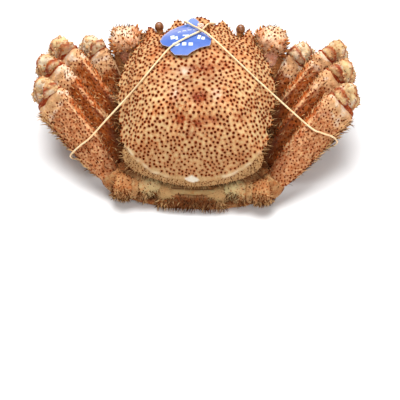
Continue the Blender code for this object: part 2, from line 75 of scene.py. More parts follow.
def to_level(points):
    return (points - ORIGIN) / MM @ TURN


def unit(vectors):
    return vectors / np.maximum(np.linalg.norm(vectors, axis=-1, keepdims=True), 1e-9)


def ramp(low, high, values):
    """0 below low and 1 above high, or the other way round, with soft ends."""
    t = np.clip((values - low) / (high - low), 0.0, 1.0)
    return t * t * (3.0 - 2.0 * t)


def bell(values, middle, width):
    """A soft hill of height 1 about a middle."""
    return np.exp(-(((values - middle) / width) ** 2))


def lump(points, x, y, wide, long):
    """A soft hill of height 1 over (x, y) of the level frame."""
    return np.exp(-(((points[:, 0] - x) / wide) ** 2) - ((points[:, 1] - y) / long) ** 2)


def ripple(points, size, seed):
    """Smooth noise from -1 to 1, with cells of a size."""
    scaled = points / size + seed * 17.31
    cell = np.floor(scaled).astype(np.int64)
    t = scaled - cell
    t = t * t * (3.0 - 2.0 * t)
    total = np.zeros(len(points))
    for corner in np.ndindex(2, 2, 2):
        key = (cell + corner) @ np.array((374761393, 668265263, 2147483647 // 3), dtype=np.int64)
        key = (key ^ (key >> 13)) * 1274126177
        value = ((key ^ (key >> 16)) & 0xFFFF) / 32767.5 - 1.0
        total += value * np.prod(np.where(corner, t, 1.0 - t), axis=1)
    return total


# ---- mesh helpers
def vertex_rows(mesh, name):
    flat = np.empty(len(mesh.vertices) * 3)
    mesh.vertices.foreach_get(name, flat)
    return flat.reshape(-1, 3)


def points_of(mesh):
    return vertex_rows(mesh, "co")


def normals_of(mesh):
    return vertex_rows(mesh, "normal")


def set_points(mesh, points):
    mesh.vertices.foreach_set("co", points.ravel())
    mesh.update()


def triangles_of(mesh):
    mesh.calc_loop_triangles()
    flat = np.empty(len(mesh.loop_triangles) * 3, dtype=np.int32)
    mesh.loop_triangles.foreach_get("vertices", flat)
    return flat.reshape(-1, 3)


def set_value(mesh, name, values):
    found = mesh.attributes.get(name) or mesh.attributes.new(name, "FLOAT", "POINT")
    found.data.foreach_set("value", np.asarray(values, dtype=np.float32))


def raised(mesh, points, normals, rise):
    """Moves the points out along their normals and returns where they are then."""
    points = points + normals * rise[:, None]
    set_points(mesh, points)
    return points


def evaluated(made):
    bpy.context.view_layer.update()
    return made.evaluated_get(bpy.context.evaluated_depsgraph_get())


def linked(name, data):
    """A new object in the scene."""
    made = bpy.data.objects.new(name, data)
    bpy.context.scene.collection.objects.link(made)
    return made


def mesh_of(name, bm):
    """A mesh from a bmesh, which is freed."""
    mesh = bpy.data.meshes.new(name)
    bm.to_mesh(mesh)
    bm.free()
    return mesh


def welded(node):
    """A bmesh of a node's solid with its corners joined."""
    bm = bmesh.new()
    bm.from_mesh(NODES[node].data)
    bmesh.ops.remove_doubles(bm, verts=bm.verts, dist=WELD_DISTANCE)
    return bm


def baked(made):
    """Applies an object's modifiers and returns its new smooth mesh."""
    dense = bpy.data.meshes.new_from_object(evaluated(made))
    made.modifiers.clear()
    made.data = dense
    dense.shade_smooth()
    return dense


WELD_DISTANCE = 2e-6
FIT_ROUNDS = 3
JOIN_FLATNESS = math.radians(60)
JOIN_SHAPE = math.radians(120)
CALM_SHARE = 0.5


def refined(node, levels, voxel=0.0, calm=0):
    """A dense smooth object through the corners of a node's solid, in level millimetres."""
    bm = welded(node)
    bmesh.ops.join_triangles(
        bm, faces=bm.faces, angle_face_threshold=JOIN_FLATNESS, angle_shape_threshold=JOIN_SHAPE
    )
    mesh = mesh_of(f"{node}_coarse", bm)
    set_points(mesh, to_level(points_of(mesh)))
    made = linked(f"{node}_skin", mesh)
    wanted = points_of(mesh)
    rounding = made.modifiers.new("round", "SUBSURF")
    rounding.levels = 1
    for _ in range(FIT_ROUNDS):
        reached = points_of(evaluated(made).data)[: len(wanted)]
        set_points(mesh, points_of(mesh) + (wanted - reached))
    rounding.levels = levels
    if voxel:
        even = made.modifiers.new("even", "REMESH")
        even.mode = "VOXEL"
        even.voxel_size = voxel
    if calm:
        calmer = made.modifiers.new("calm", "SMOOTH")
        calmer.factor = CALM_SHARE
        calmer.iterations = calm
    baked(made)
    return made


VOXEL, CALM = 0.95, 3


def skin_of(node, levels=2, voxel=VOXEL, calm=CALM):
    """A node's dense skin with its mesh, points and normals."""
    made = refined(node, levels, voxel, calm)
    return made, made.data, points_of(made.data), normals_of(made.data)


def hand_in(made, material, node=None):
    """From level millimetres into the frame: never below the ground, riding on the one body."""
    points = to_world(points_of(made.data))
    points[:, 2] = np.maximum(points[:, 2], 0.0)
    set_points(made.data, points)
    made.data.materials.append(material)
    if node:
        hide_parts(node)
    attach(made, "root")
    return made


def mesh_from(name, points, triangles, values):
    """A new object from arrays, with named values on its points."""
    mesh = bpy.data.meshes.new(name)
    mesh.vertices.add(len(points))
    mesh.vertices.foreach_set("co", points.ravel())
    mesh.loops.add(triangles.size)
    mesh.loops.foreach_set("vertex_index", triangles.ravel().astype(np.int32))
    mesh.polygons.add(len(triangles))
    mesh.polygons.foreach_set("loop_start", np.arange(len(triangles), dtype=np.int32) * 3)
    mesh.update(calc_edges=True)
    mesh.shade_smooth()
    for key, found in values.items():
        set_value(mesh, key, found)
    return linked(name, mesh)


# ---- scattering
GRAIN_CROWD, HAIR_CROWD = 7.0, 5.0  # places tried on each square of the spacing


def tree_of(points):
    tree = kdtree.KDTree(len(points))
    for k, p in enumerate(points):
        tree.insert(p, k)
    tree.balance()
    return tree


def distances(tree, points):
    return np.array([tree.find(p)[2] for p in points])


def thinned(points, spacing):
    """Indices of points that keep their spacing from those before them."""
    tree = tree_of(points)
    gone = bytearray(len(points))
    kept = []
    for k, p in enumerate(points):
        if gone[k]:
            continue
        kept.append(k)
        for _, other, _ in tree.find_range(p, spacing[k]):
            gone[other] = 1
    return np.array(kept, dtype=int)


def evenly(gap):
    """The same spacing everywhere, for scatter."""
    return lambda where, way: np.full(len(where), gap)


def scatter(made, spacing, seed, crowd=GRAIN_CROWD):
    """Spreads points over an object in level millimetres. spacing(points, normals) is 0 where none grow."""
    rng = np.random.default_rng(seed)
    mesh = made.data
    points, normals, tris = points_of(mesh), normals_of(mesh), triangles_of(mesh)
    # faces are put in order of place, so that the remesher's own numbering of them doesn't matter
    middle = np.round(points[tris].mean(axis=1), 3)
    tris = tris[np.lexsort((middle[:, 2], middle[:, 1], middle[:, 0]))]
    a, b, c = (points[tris[:, k]] for k in range(3))
    area = np.linalg.norm(np.cross(b - a, c - a), axis=1) / 2
    middle_gap = spacing((a + b + c) / 3, unit(np.cross(b - a, c - a)))
    weight = np.where(middle_gap > 0, area / np.maximum(middle_gap, 0.1) ** 2, 0.0)
    count = int(weight.sum() * crowd)
    if count < 1:
        return np.zeros((0, 3)), np.zeros((0, 3))
    draws = rng.random((count, 3))
    edges = np.cumsum(weight) / weight.sum()
    chosen = np.minimum(np.searchsorted(edges, draws[:, 0]), len(tris) - 1)
    u, v = draws[:, 1].copy(), draws[:, 2].copy()
    flip = u + v > 1
    u[flip], v[flip] = 1 - u[flip], 1 - v[flip]
    share = np.stack((1 - u - v, u, v), axis=1)
    where = np.einsum("ij,ijk->ik", share, points[tris[chosen]])
    way = unit(np.einsum("ij,ijk->ik", share, normals[tris[chosen]]))
    gap = spacing(where, way)
    grown = gap > 0
    where, way, gap = where[grown], way[grown], gap[grown]
    kept = thinned(where, gap)
    return where[kept], way[kept]


def sideways(normals):
    """Two directions square to each normal."""
    helper = np.where(np.abs(normals[:, 2:3]) < 0.9, np.array((0.0, 0.0, 1.0)), np.array((1.0, 0.0, 0.0)))
    first = unit(np.cross(helper, normals))
    return first, np.cross(normals, first)


def spokes(ways, sides, spin):
    """Directions square to each way, evenly spread round it."""
    first, second = sideways(ways)
    turns = np.arange(sides)[None, :] * 2 * math.pi / sides + spin[:, None]
    return first[:, None] * np.cos(turns)[..., None] + second[:, None] * np.sin(turns)[..., None]


def tapers(name, rings, tops, tip, chance):
    """Many pointed bodies in one object: rings of points, closed by a top. tip has a value for each ring."""
    count, sides = rings[0].shape[:2]
    verts = np.concatenate([*rings, tops[:, None]], axis=1)
    last = (len(rings) - 1) * sides
    faces = []
    for k in range(sides):
        n = (k + 1) % sides
        for low in range(0, last, sides):
            high = low + sides
            faces += [(low + k, low + n, high + n), (low + k, high + n, high + k)]
        faces.append((last + k, last + n, last + sides))
    each = last + sides + 1
    triangles = np.array(faces)[None] + (np.arange(count) * each)[:, None, None]
    values = {
        "tip": np.tile(np.append(np.repeat(tip, sides), 1.0), count),
        "chance": np.repeat(chance, each),
    }
    return mesh_from(name, verts.reshape(-1, 3), triangles.reshape(-1, 3), values)


def studs(name, points, normals, radius, height, profile, sides, seed, lean=None):
    """Small domes or cones on the surface. profile has a share of radius and of height for each ring."""
    rng = np.random.default_rng(seed)
    around = spokes(normals, sides, rng.random(len(points)) * 2 * math.pi)
    top = normals if lean is None else unit(normals + lean)
    rings = []
    for wide, high in profile:
        ring = around * (radius * wide)[:, None, None]
        rings.append(points[:, None] + ring + (top * (height * high)[:, None])[:, None])
    tip = [high for _, high in profile]
    return tapers(name, rings, points + top * height[:, None], tip, rng.random(len(points)))


HAIR_SIDES = 3
HAIR_RINGS = ((-0.06, 1.0, 0.0), (0.5, 0.72, 0.3))  # share of length, of thickness and of bend
DROOP = 0.25


def bristles(name, points, ways, lengths, radii, seed, shade):
    """Tapered curved bristles. shade is the share of light ones."""
    rng = np.random.default_rng(seed)
    count = len(points)
    first, second = sideways(ways)
    bend = unit(first * rng.normal(size=(count, 1)) + second * rng.normal(size=(count, 1)))
    bend = bend * (lengths * DROOP)[:, None]
    around = spokes(ways, HAIR_SIDES, rng.random(count) * 6.0)
    rings = []
    for share, thick, bent in HAIR_RINGS:
        centre = points + ways * (lengths * share)[:, None] + bend * bent
        rings.append(centre[:, None] + around * (radii * thick)[:, None, None])
    chance = np.where(rng.random(count) < shade, 0.72 + 0.28 * rng.random(count), 0.34 * rng.random(count))
    return tapers(name, rings, points + ways * lengths[:, None] + bend, (0.0, 0.5), chance)


HAIR_CLEAR = 0.6  # both ends of a hair are at least this far above the ground


def above_ground(points, ways, lengths):
    """True where a bristle stays above the ground."""
    ends = to_world(points + ways * lengths[:, None])[:, 2]
    return (ends > HAIR_CLEAR * MM) & (to_world(points)[:, 2] > HAIR_CLEAR * MM)


# ---- materials
class Paint:
    """A Principled material with a few helpers for procedural colour."""

    def __init__(self, name, roughness=0.5, coat=0.0, specular=0.5):
        self.material = bpy.data.materials.new(name)
        self.material.use_nodes = True
        self.tree = self.material.node_tree
        self.shader = self.tree.nodes["Principled BSDF"]
        self.shader.inputs["Roughness"].default_value = roughness
        self.shader.inputs["Coat Weight"].default_value = coat
        self.shader.inputs["Coat Roughness"].default_value = 0.25
        self.shader.inputs["Specular IOR Level"].default_value = specular
        self.place = self.tree.nodes.new("ShaderNodeTexCoord").outputs["Object"]

    def wire(self, value, socket):
        if isinstance(value, bpy.types.NodeSocket):
            self.tree.links.new(value, socket)
        elif isinstance(value, tuple):
            socket.default_value = (*value, 1.0)
        else:
            socket.default_value = value

    def node(self, kind, sockets, **settings):
        """A new node with its settings made and its sockets joined or set. Returns its outputs."""
        made = self.tree.nodes.new(f"ShaderNode{kind}")
        for name, value in settings.items():
            setattr(made, name, value)
        for name, value in sockets.items():
            self.wire(value, made.inputs[name])
        return made.outputs

    def value(self, name):
        return self.node("Attribute", {}, attribute_name=name)["Fac"]

    def noise(self, size, detail=2.0, rough=0.55):
        sockets = {"Vector": self.place, "Scale": 1.0 / (size * MM), "Detail": detail, "Roughness": rough}
        return self.node("TexNoise", sockets)["Fac"]

    def cells(self, size):
        return self.node("TexVoronoi", {"Vector": self.place, "Scale": 1.0 / (size * MM)})["Distance"]

    def sharpen(self, value, low, high, to_low=0.0, to_high=1.0):
        sockets = {"Value": value, "From Min": low, "From Max": high, "To Min": to_low, "To Max": to_high}
        return self.node("MapRange", sockets, interpolation_type="SMOOTHSTEP")["Result"]

    def times(self, a, b):
        return self.node("Math", {0: a, 1: b}, operation="MULTIPLY", use_clamp=True)[0]

    def mix(self, share, a, b):
        return self.node("Mix", {"Factor": share, "A": a, "B": b}, data_type="RGBA")["Result"]

    def over(self, colour, tone, value, low, high, most=1.0):
        """A tone laid over a colour where a value rises from low to high."""
        return self.mix(self.sharpen(value, low, high, 0.0, most), colour, tone)

    def patchy(self, name, size, spread):
        """A named value, broken up by noise where it is neither 0 nor 1."""
        broken = self.sharpen(self.noise(size, 4.0, 0.65), 0.38, 0.62, 1.0 - spread * 0.5, 1.0 + spread * 0.5)
        return self.times(self.value(name), broken)

    def finish(self, colour, bumps=(), roughness=None):
        self.tree.links.new(colour, self.shader.inputs["Base Color"])
        if roughness is not None:
            self.tree.links.new(roughness, self.shader.inputs["Roughness"])
        normal = None
        for height, depth in bumps:
            sockets = {"Distance": depth * MM, "Height": height}
            if normal is not None:
                sockets["Normal"] = normal
            normal = self.node("Bump", sockets)["Normal"]
        if normal is not None:
            self.tree.links.new(normal, self.shader.inputs["Normal"])
        return self.material


CREAM = (0.74, 0.47, 0.22)
PEACH = (0.61, 0.26, 0.10)
TAN = (0.38, 0.118, 0.036)
ORANGE = (0.45, 0.10, 0.014)
RED = (0.23, 0.024, 0.006)
MAROON = (0.105, 0.0125, 0.002)
PALE = (0.70, 0.50, 0.25)
OLIVE = (0.46, 0.25, 0.10)
# painted shade colour: the shell is darkened toward it where shade falls
SHADE_BROWN = (0.036, 0.006, 0.0015)
HALO = (0.44, 0.125, 0.036)
WHITE = (0.84, 0.74, 0.60)
FRECKLE_GAP = 2.6
# named value, size of its patches, how broken they are, and its tone, where None is the paint's own pale tone
MASKS = (
    ("red", 3.2, 1.3, ORANGE),
    ("blush", 2.0, 1.3, RED),
    ("pale", 4.0, 0.8, None),
    ("moss", 2.2, 0.7, OLIVE),
    ("white", 2.2, 0.7, WHITE),
)


def shell_paint(name, light, warm, pale, roughness=0.5, freckles=0.0, specular=0.22):
    """Cooked shell: ground tones, reddened, paled and ringed round its grains by named values, and darkened
    toward brown by painted shade.
    """
    p = Paint(name, roughness, 0.0, specular)
    broad = p.sharpen(p.noise(13.0, 3.0), 0.36, 0.64)
    fine = p.noise(2.4, 4.0)
    colour = p.mix(broad, light, warm)
    colour = p.over(colour, warm, fine, 0.45, 0.72, 0.45)
    colour = p.over(colour, pale, p.noise(5.0, 4.0, 0.7), 0.49, 0.57, 0.8)
    colour = p.over(colour, ORANGE, p.noise(3.4, 4.0, 0.7), 0.54, 0.62, 0.55)
    if freckles:
        colour = p.mix(p.sharpen(p.cells(FRECKLE_GAP), 0.12, 0.24, freckles, 0.0), colour, RED)
    for name_of_mask, size, spread, tone in MASKS:
        colour = p.mix(p.patchy(name_of_mask, size, spread), colour, tone or pale)
    colour = p.mix(p.times(p.value("halo"), 0.75), colour, HALO)
    # painted shade: this value darkens the shell toward brown where shade falls
    colour = p.mix(p.times(p.value("deep"), 0.85), colour, SHADE_BROWN)
    rough = p.sharpen(p.noise(1.6, 3.0), 0.3, 0.7, roughness - 0.1, roughness + 0.16)
    return p.finish(colour, [(p.noise(2.2, 3.0), 0.35), (p.noise(0.5, 2.0), 0.12)], rough)


def stud_paint(name, foot, body, top):
    """Grains and spines, darker or lighter to the tip."""
    p = Paint(name, 0.6, 0.0, 0.0)
    height = p.sharpen(p.value("tip"), 0.05, 0.55)
    colour = p.mix(height, foot, body)
    colour = p.over(colour, top, p.value("tip"), 0.55, 0.95)
    colour = p.over(colour, foot, p.value("chance"), 0.55, 1.0, 0.45)
    colour = p.over(colour, foot, p.noise(0.7, 2.0), 0.45, 0.75, 0.4)
    return p.finish(colour, [(p.noise(0.4, 2.0), 0.08)])


def hair_paint(name, dark, middle, light):
    p = Paint(name, 0.6, 0.0, 0.0)
    colour = p.mix(p.sharpen(p.value("chance"), 0.05, 0.5), dark, middle)
    colour = p.over(colour, light, p.value("chance"), 0.5, 0.95)
    colour = p.over(colour, light, p.value("tip"), 0.4, 1.0, 0.25)
    colour = p.over(colour, dark, p.noise(3.0, 2.0), 0.45, 0.7, 0.3)
    return p.finish(colour)


SHELL = shell_paint("carapace_shell", CREAM, PEACH, PALE, specular=0.1)
LEG = shell_paint("leg_shell", TAN, (0.28, 0.056, 0.012), (0.70, 0.40, 0.20), freckles=0.5, specular=0.08)
KNEE = shell_paint(
    "knee_shell", (0.76, 0.48, 0.23), (0.62, 0.30, 0.13), (0.78, 0.60, 0.31), freckles=0.6, specular=0.1
)
WRIST = shell_paint("wrist_shell", (0.86, 0.52, 0.30), (0.76, 0.34, 0.14), (0.88, 0.62, 0.38), freckles=0.3)
SMOOTH = shell_paint(
    "smooth_shell", (0.44, 0.33, 0.15), (0.38, 0.20, 0.078), (0.52, 0.40, 0.19), roughness=0.4, specular=0.12
)
ROOT = shell_paint(
    "root_shell", (0.40, 0.18, 0.065), (0.34, 0.115, 0.035), (0.50, 0.30, 0.13), freckles=0.5, specular=0.08
)
SKIN = shell_paint("joint_skin", (0.34, 0.13, 0.045), (0.20, 0.05, 0.013), (0.44, 0.22, 0.08), specular=0.08)
MAUVE = shell_paint("wrist_skin", (0.52, 0.21, 0.12), (0.42, 0.12, 0.05), (0.68, 0.40, 0.29), specular=0.1)
TAIL = shell_paint("tail_shell", (0.40, 0.225, 0.095), (0.26, 0.12, 0.04), (0.40, 0.28, 0.12), specular=0.08)
GRAIN = stud_paint("dark_grain", (0.24, 0.034, 0.006), MAROON, (0.055, 0.007, 0.0015))
LEG_GRAIN = stud_paint("leg_grain", (0.22, 0.036, 0.006), (0.11, 0.012, 0.003), (0.045, 0.006, 0.0015))
SPINE = stud_paint("pale_spine", ORANGE, (0.60, 0.24, 0.07), (0.74, 0.48, 0.23))
KNOB = stud_paint("pale_knob", (0.50, 0.24, 0.10), (0.68, 0.48, 0.27), (0.56, 0.28, 0.12))
RED_SPINE = stud_paint("red_spine", (0.42, 0.11, 0.022), (0.30, 0.042, 0.008), (0.10, 0.015, 0.005))
HAIR = hair_paint("bristle", (0.036, 0.006, 0.0012), (0.26, 0.078, 0.017), (0.78, 0.47, 0.21))


# ---- carapace
def nearness(points, feet, reach):
    """1 at the feet of grains, 0 past a reach."""
    return 1.0 - ramp(reach * 0.45, reach, distances(tree_of(feet), points))


# soft places on the carapace: middle, half width, half length and strength
RED_PLACES = [
    (4.4, -13.1, 6.5, 4.2, 1.1), (-9.4, -30.0, 6.0, 3.2, 1.0), (2.5, -32.7, 6.0, 2.6, 0.9),
    (14.1, -28.9, 6.0, 3.0, 0.9), (-2.0, -39.7, 4.0, 2.6, 0.7), (-34.6, 2.8, 4.5, 3.5, 0.55),
    (4.2, 13.6, 11.0, 3.4, 0.75), (-7.1, 2.0, 4.5, 3.4, 0.5), (13.4, 5.0, 5.5, 3.2, 0.55),
    (-24.6, 11.7, 5.5, 4.5, 0.45), (36.8, -25.4, 5.0, 3.6, 0.55), (23.3, 17.4, 6.5, 4.2, 0.5),
    (-30.0, 38.0, 14.0, 12.0, 0.3), (30.0, 40.0, 12.0, 12.0, 0.25), (0.0, 30.0, 30.0, 12.0, 0.25),
]
# pale places: most are the shell's own pale patches; those far out on the flanks are painted light that evens
# the flanks with the lit top
PALE_AND_LIT_PLACES = [
    (-19.0, 3.0, 4.5, 7.5, 0.45), (20.0, 5.0, 8.0, 3.6, 0.4), (-44.0, 20.0, 8.0, 8.0, 0.5),
    (46.0, 22.0, 7.0, 8.0, 0.5), (-52.0, -20.0, 7.0, 14.0, 0.6), (54.0, -18.0, 7.0, 14.0, 0.6),
    (0.0, -50.0, 20.0, 5.0, 0.4), (-24.0, -36.0, 8.0, 5.0, 0.5), (26.0, -34.0, 8.0, 5.0, 0.5),
]
WHITE_PLACES = [
    (-15.0, -10.5, 3.2, 5.5, 0.5), (17.6, -9.8, 3.6, 4.6, 0.45), (-8.8, 10.3, 4.4, 3.4, 0.7),
]
SCAR = (0.0, -65.5, 5.9, 1.9)  # the bare white mark on the rear edge: middle, half width, half length


def scar_reach(points, power=1.0):
    """0 in the middle of the white mark and 1 at its edge, a lozenge for power 1 and rounder above."""
    across = np.abs(points[:, 0] - SCAR[0]) / SCAR[2]
    along = np.abs(points[:, 1] - SCAR[1]) / SCAR[3]
    return across**power + along**power


def hills(points, places):
    total = np.zeros(len(points))
    for x, y, wide, long, high in places:
        total += high * lump(points, x, y, wide, long)
    return np.clip(total, 0.0, 1.0)


# the raised rim inside the rear corners, from the middle outward
RIM = (
    (0.0, -66.0), (14.0, -65.0), (21.5, -63.8), (32.0, -61.2),
    (39.5, -57.6), (47.5, -53.2), (52.0, -47.0), (57.5, -42.0),
)


def past_rim(points):
    """How far outside the raised rim a point is, in millimetres, negative within it."""
    line = np.array(RIM)
    x, y = np.abs(points[:, 0]), points[:, 1]
    best, side = np.full(len(points), 1e9), np.zeros(len(points))
    for a, b in zip(line, line[1:]):
        way = b - a
        share = np.clip(((x - a[0]) * way[0] + (y - a[1]) * way[1]) / (way @ way), 0, 1)
        far = np.hypot(x - a[0] - share * way[0], y - a[1] - share * way[1])
        outward = np.sign(way[1] * (x - a[0]) - way[0] * (y - a[1]))
        side = np.where(far < best, outward, side)
        best = np.minimum(far, best)
    return np.where(y < line[-1][1] + 1.5, best * side, -60.0)


def rim_line(points):
    """The raised rim inside the rear corners; where it is painted pale and white, the white is partly a painted
    highlight along the ridge.
    """
    inside = ramp(16.0, 27.0, np.abs(points[:, 0]))
    return bell(past_rim(points), 0.0, 0.9) * inside * ramp(-0.35, 0.3, ripple(points, 5.5, 19))


TUFT = 4  # hairs on each grain


def dress_carapace():
    """The carapace with its grains and tufts. Returns its points."""
    made, mesh, points, normals = skin_of("carapace", 3, 0.0, 0)
    upper = ramp(0.05, 0.4, normals[:, 2])
    rise = 0.30 * ripple(points, 7.0, 1) + 0.16 * ripple(points, 3.1, 2)
    rise += 0.7 * rim_line(points) - 0.35 * hills(points, RED_PLACES)
    points = raised(mesh, points, normals, rise * upper)

    def grain_gap(where, way):
        gap = 3.0 + 0.25 * ripple(where, 12.0, 5)
        gap -= 0.35 * ramp(-30.0, -62.0, where[:, 1]) + 0.15 * ramp(45.0, 70.0, where[:, 1])
        barren = (hills(where, WHITE_PLACES) > 0.38) | (past_rim(where) > -1.8) | (scar_reach(where) < 1.3)
        return np.where((way[:, 2] > 0.16) & (where[:, 2] > -17.5) & ~barren, gap, 0.0)

    feet, ways = scatter(made, grain_gap, 11)
    rng = np.random.default_rng(3)
    size = 0.86 + 0.34 * rng.random(len(feet)) - 0.22 * ramp(-35.0, -62.0, feet[:, 1])
    size += 0.08 * ramp(10.0, 55.0, feet[:, 1]) * ramp(0.75, 0.45, ways[:, 2])
    size *= np.where(rng.random(len(feet)) < 0.14, 0.6, 1.0)
    profile = ((1.25, -0.25), (1.0, 0.12), (0.82, 0.6), (0.45, 0.93))
    forward = np.array((0.0, 0.35, 0.0))
    grains = studs("carapace_grains", feet, ways, size, size * 0.8, profile, 8, 5, forward)
    hand_in(grains, GRAIN)

    wall_feet, wall_ways = scatter(made, lambda where, way: np.where(past_rim(where) > 0.8, 2.1, 0.0), 12)
    bare = scar_reach(wall_feet) < 1.3
    wall_feet, wall_ways = wall_feet[~bare], wall_ways[~bare]
    collect("grain", wall_feet, wall_ways, 0.3 + 0.3 * rng.random(len(wall_feet)))

    hairs = len(feet) * TUFT
    tuft_feet = np.repeat(feet, TUFT, axis=0) + rng.normal(size=(hairs, 3)) * 0.32
    outward = unit(tuft_feet * np.array((1.0, 1.0, 0.0))) * 0.55
    tuft_ways = unit(np.repeat(ways, TUFT, axis=0) + rng.normal(size=(hairs, 3)) * 0.34 + outward)
    lengths = 1.4 + 1.2 * rng.random(hairs)
    tufts = bristles("carapace_tufts", tuft_feet, tuft_ways, lengths, np.full(hairs, 0.17), 8, 0.05)
    hand_in(tufts, HAIR)

    mark = scar_reach(points, 1.35)
    mark = 1.0 - ramp(0.75, 1.1, mark + 0.2 * ripple(points, 1.4, 14))
    wall = ramp(0.2, 1.6, past_rim(points))
    rim = rim_line(points)
    brow = ramp(42.0, 62.0, points[:, 1]) * ramp(34.0, 44.0, np.abs(points[:, 0]))
    ring = nearness(points, feet, 2.3) * upper
    warm = hills(points, RED_PLACES)
    set_value(mesh, "halo", ring * (1.0 - 0.9 * warm))
    set_value(mesh, "red", np.clip(0.85 * warm + 0.75 * (1.0 - upper) * (1.0 - wall) + 0.45 * brow, 0, 1))
    set_value(mesh, "blush", np.clip(1.3 * warm * (0.35 + 1.2 * ring), 0, 1))
    # the rim's pale tone is its own, its white partly a painted highlight along the ridge
    pale = ramp(-38.0, -60.0, points[:, 1]) * 0.4 + rim * 0.6
    # the pale places add the shell's own pale patches, and painted light on the flanks
    pale += 0.9 * hills(points, PALE_AND_LIT_PLACES) + 0.1 + 0.35 * ripple(points, 15.0, 6)
    set_value(mesh, "pale", np.clip(pale, 0, 1) * upper * (1.0 - warm))
    # white: the shell's whitish patches and bare mark, and along the rim partly a painted highlight
    set_value(mesh, "white", np.clip(hills(points, WHITE_PLACES) * upper + 0.35 * rim + 1.15 * mark, 0, 2))
    rear = ramp(-30.0, -66.0, points[:, 1]) * upper
    front = ramp(62.0, 72.0, points[:, 1]) * ramp(24.0, 14.0, np.abs(points[:, 0]))
    moss = 0.8 * wall + 0.55 * front + 0.55 * rear * (1.0 - rim) + 0.3 * ripple(points, 7.0, 9) * rear
    moss = np.clip(moss, 0, 1) * (1.0 - mark)
    set_value(mesh, "moss", moss)
    # painted shade: darker on the faces that turn down, and on the top of the dome, which faces the overhead
    # lamp most
    deep = 0.55 * (1.0 - upper) * (1.0 - 0.6 * wall) + 0.38 * lump(points, 0.0, 2.0, 27.0, 25.0)
    set_value(mesh, "deep", deep)
    hand_in(made, SHELL, node="carapace")
    return points


def fringe_carapace(points):
    """Small spines along the margin, and the fringe of hair under it."""
    level = mesh_copy(bpy.data.objects["carapace_skin"], points)

    def spine_gap(where, way):
        rim = (np.abs(way[:, 2]) < 0.42) & (where[:, 2] > -5.0) & (where[:, 1] > -42.0)
        return np.where(rim, 3.6, 0.0)

    feet, ways = scatter(level, spine_gap, 21)
    rng = np.random.default_rng(22)
    radius = 0.55 + 0.25 * rng.random(len(feet))
    cone = ((1.0, -0.2), (0.72, 0.35), (0.36, 0.78))
    lean = np.array((0.0, 0.5, 0.25))
    spines = studs("margin_spines", feet, ways, radius, radius * 3.0, cone, 6, 23, lean)
    hand_in(spines, SPINE)

    def hair_gap(where, way):
        side = (way[:, 2] < 0.25) & (way[:, 2] > -0.8) & (where[:, 2] > -23.0) & (where[:, 1] < 68.0)
        wall = (past_rim(where) > 0.6) & (where[:, 2] > -20.0)
        gap = np.where(wall, 1.75, np.where(side, 1.2, 0.0))
        return np.where(scar_reach(where) < 1.25, 0.0, gap)

    feet, ways = scatter(level, hair_gap, 24, HAIR_CROWD)
    flat = unit(ways * np.array((1.0, 1.0, 0.35)) + np.array((0.0, 0.1, 0.15)))
    flat = unit(flat + rng.normal(size=flat.shape) * 0.28)
    beside = ramp(44.0, 54.0, np.abs(feet[:, 0])) * ramp(46.0, 36.0, feet[:, 1])
    lengths = 2.8 + 3.0 * rng.random(len(feet)) + 1.8 * beside
    hair = bristles("margin_hair", feet, flat, lengths, np.full(len(feet), 0.25), 25, 0.42 - 0.2 * beside)
    hand_in(hair, HAIR)
    bpy.data.objects.remove(level)


def mesh_copy(made, points):
    """A stand-in in level millimetres that things are scattered over."""
    copied = bpy.data.objects.new("level_copy", made.data.copy())
    set_points(copied.data, points)
    return copied


# ---- legs and claws
def centre_of(node):
    return to_level(points_of(NODES[node].data)).mean(0)


class Segment:
    """A limb segment's own axes, worked out from its solid: from the end near a point to the far end."""

    def __init__(self, node, near):
        corners = to_level(points_of(NODES[node].data))
        self.centre = corners.mean(0)
        spread = corners - self.centre
        self.axis, self.tall, thin = np.linalg.svd(spread, full_matrices=False)[2]
        if np.dot(near - self.centre, self.axis) > 0:
            self.axis = -self.axis
        if self.tall[2] < 0:
            self.tall = -self.tall
        reach = spread @ self.axis
        self.start = self.centre + self.axis * reach.min()
        self.end = self.centre + self.axis * reach.max()
        self.length = reach.max() - reach.min()
        self.half_tall = np.abs(spread @ self.tall).max()
        self.half_thin = np.abs(spread @ thin).max()

    def shares(self, points):
        """How far along and how far up, as shares: 0 to 1 and -1 to 1."""
        along = (points - self.start) @ self.axis / self.length
        return along, (points - self.centre) @ self.tall / self.half_tall


STUDS = {"grain": [], "knob": [], "spine": [], "red": [], "hair": []}
SKIN_SEGMENTS, SKIN_ROWS = 20, 12
SKIN_POWER = 2.6  # above 2 the skins are fuller than an oval
UP = np.array((0.0, 0.0, 1.0))
BEHIND_BELOW = unit(np.array((0.0, -0.85, -0.5)))


def collect(kind, feet, ways, sizes, shade=0.5):
    """Keeps what is scattered on the limbs until all of it is planted at once."""
    if len(feet):
        STUDS[kind].append((feet, ways, sizes, shade))


def grow_hair(made, gap, seed, rng, lean, stray, low, span, shade, reach=1.0):
    """Scatters hair that leans and strays, from reach x low to reach x (low + span) long."""
    feet, ways = scatter(made, gap, seed, HAIR_CROWD)
    out = unit(ways + lean + rng.normal(size=ways.shape) * stray)
    collect("hair", feet, out, reach * (low + span * rng.random(len(feet))), shade)


def grow_beard(made, seed, reach):
    """Dense hair on the faces that look backward and down."""

    def gap(where, way):
        return np.where(way @ BEHIND_BELOW > -0.05, 1.05, 0.0)

    grow_hair(made, gap, seed, np.random.default_rng(seed), BEHIND_BELOW * 0.35, 0.4, 0.55, 0.6, 0.36, reach)


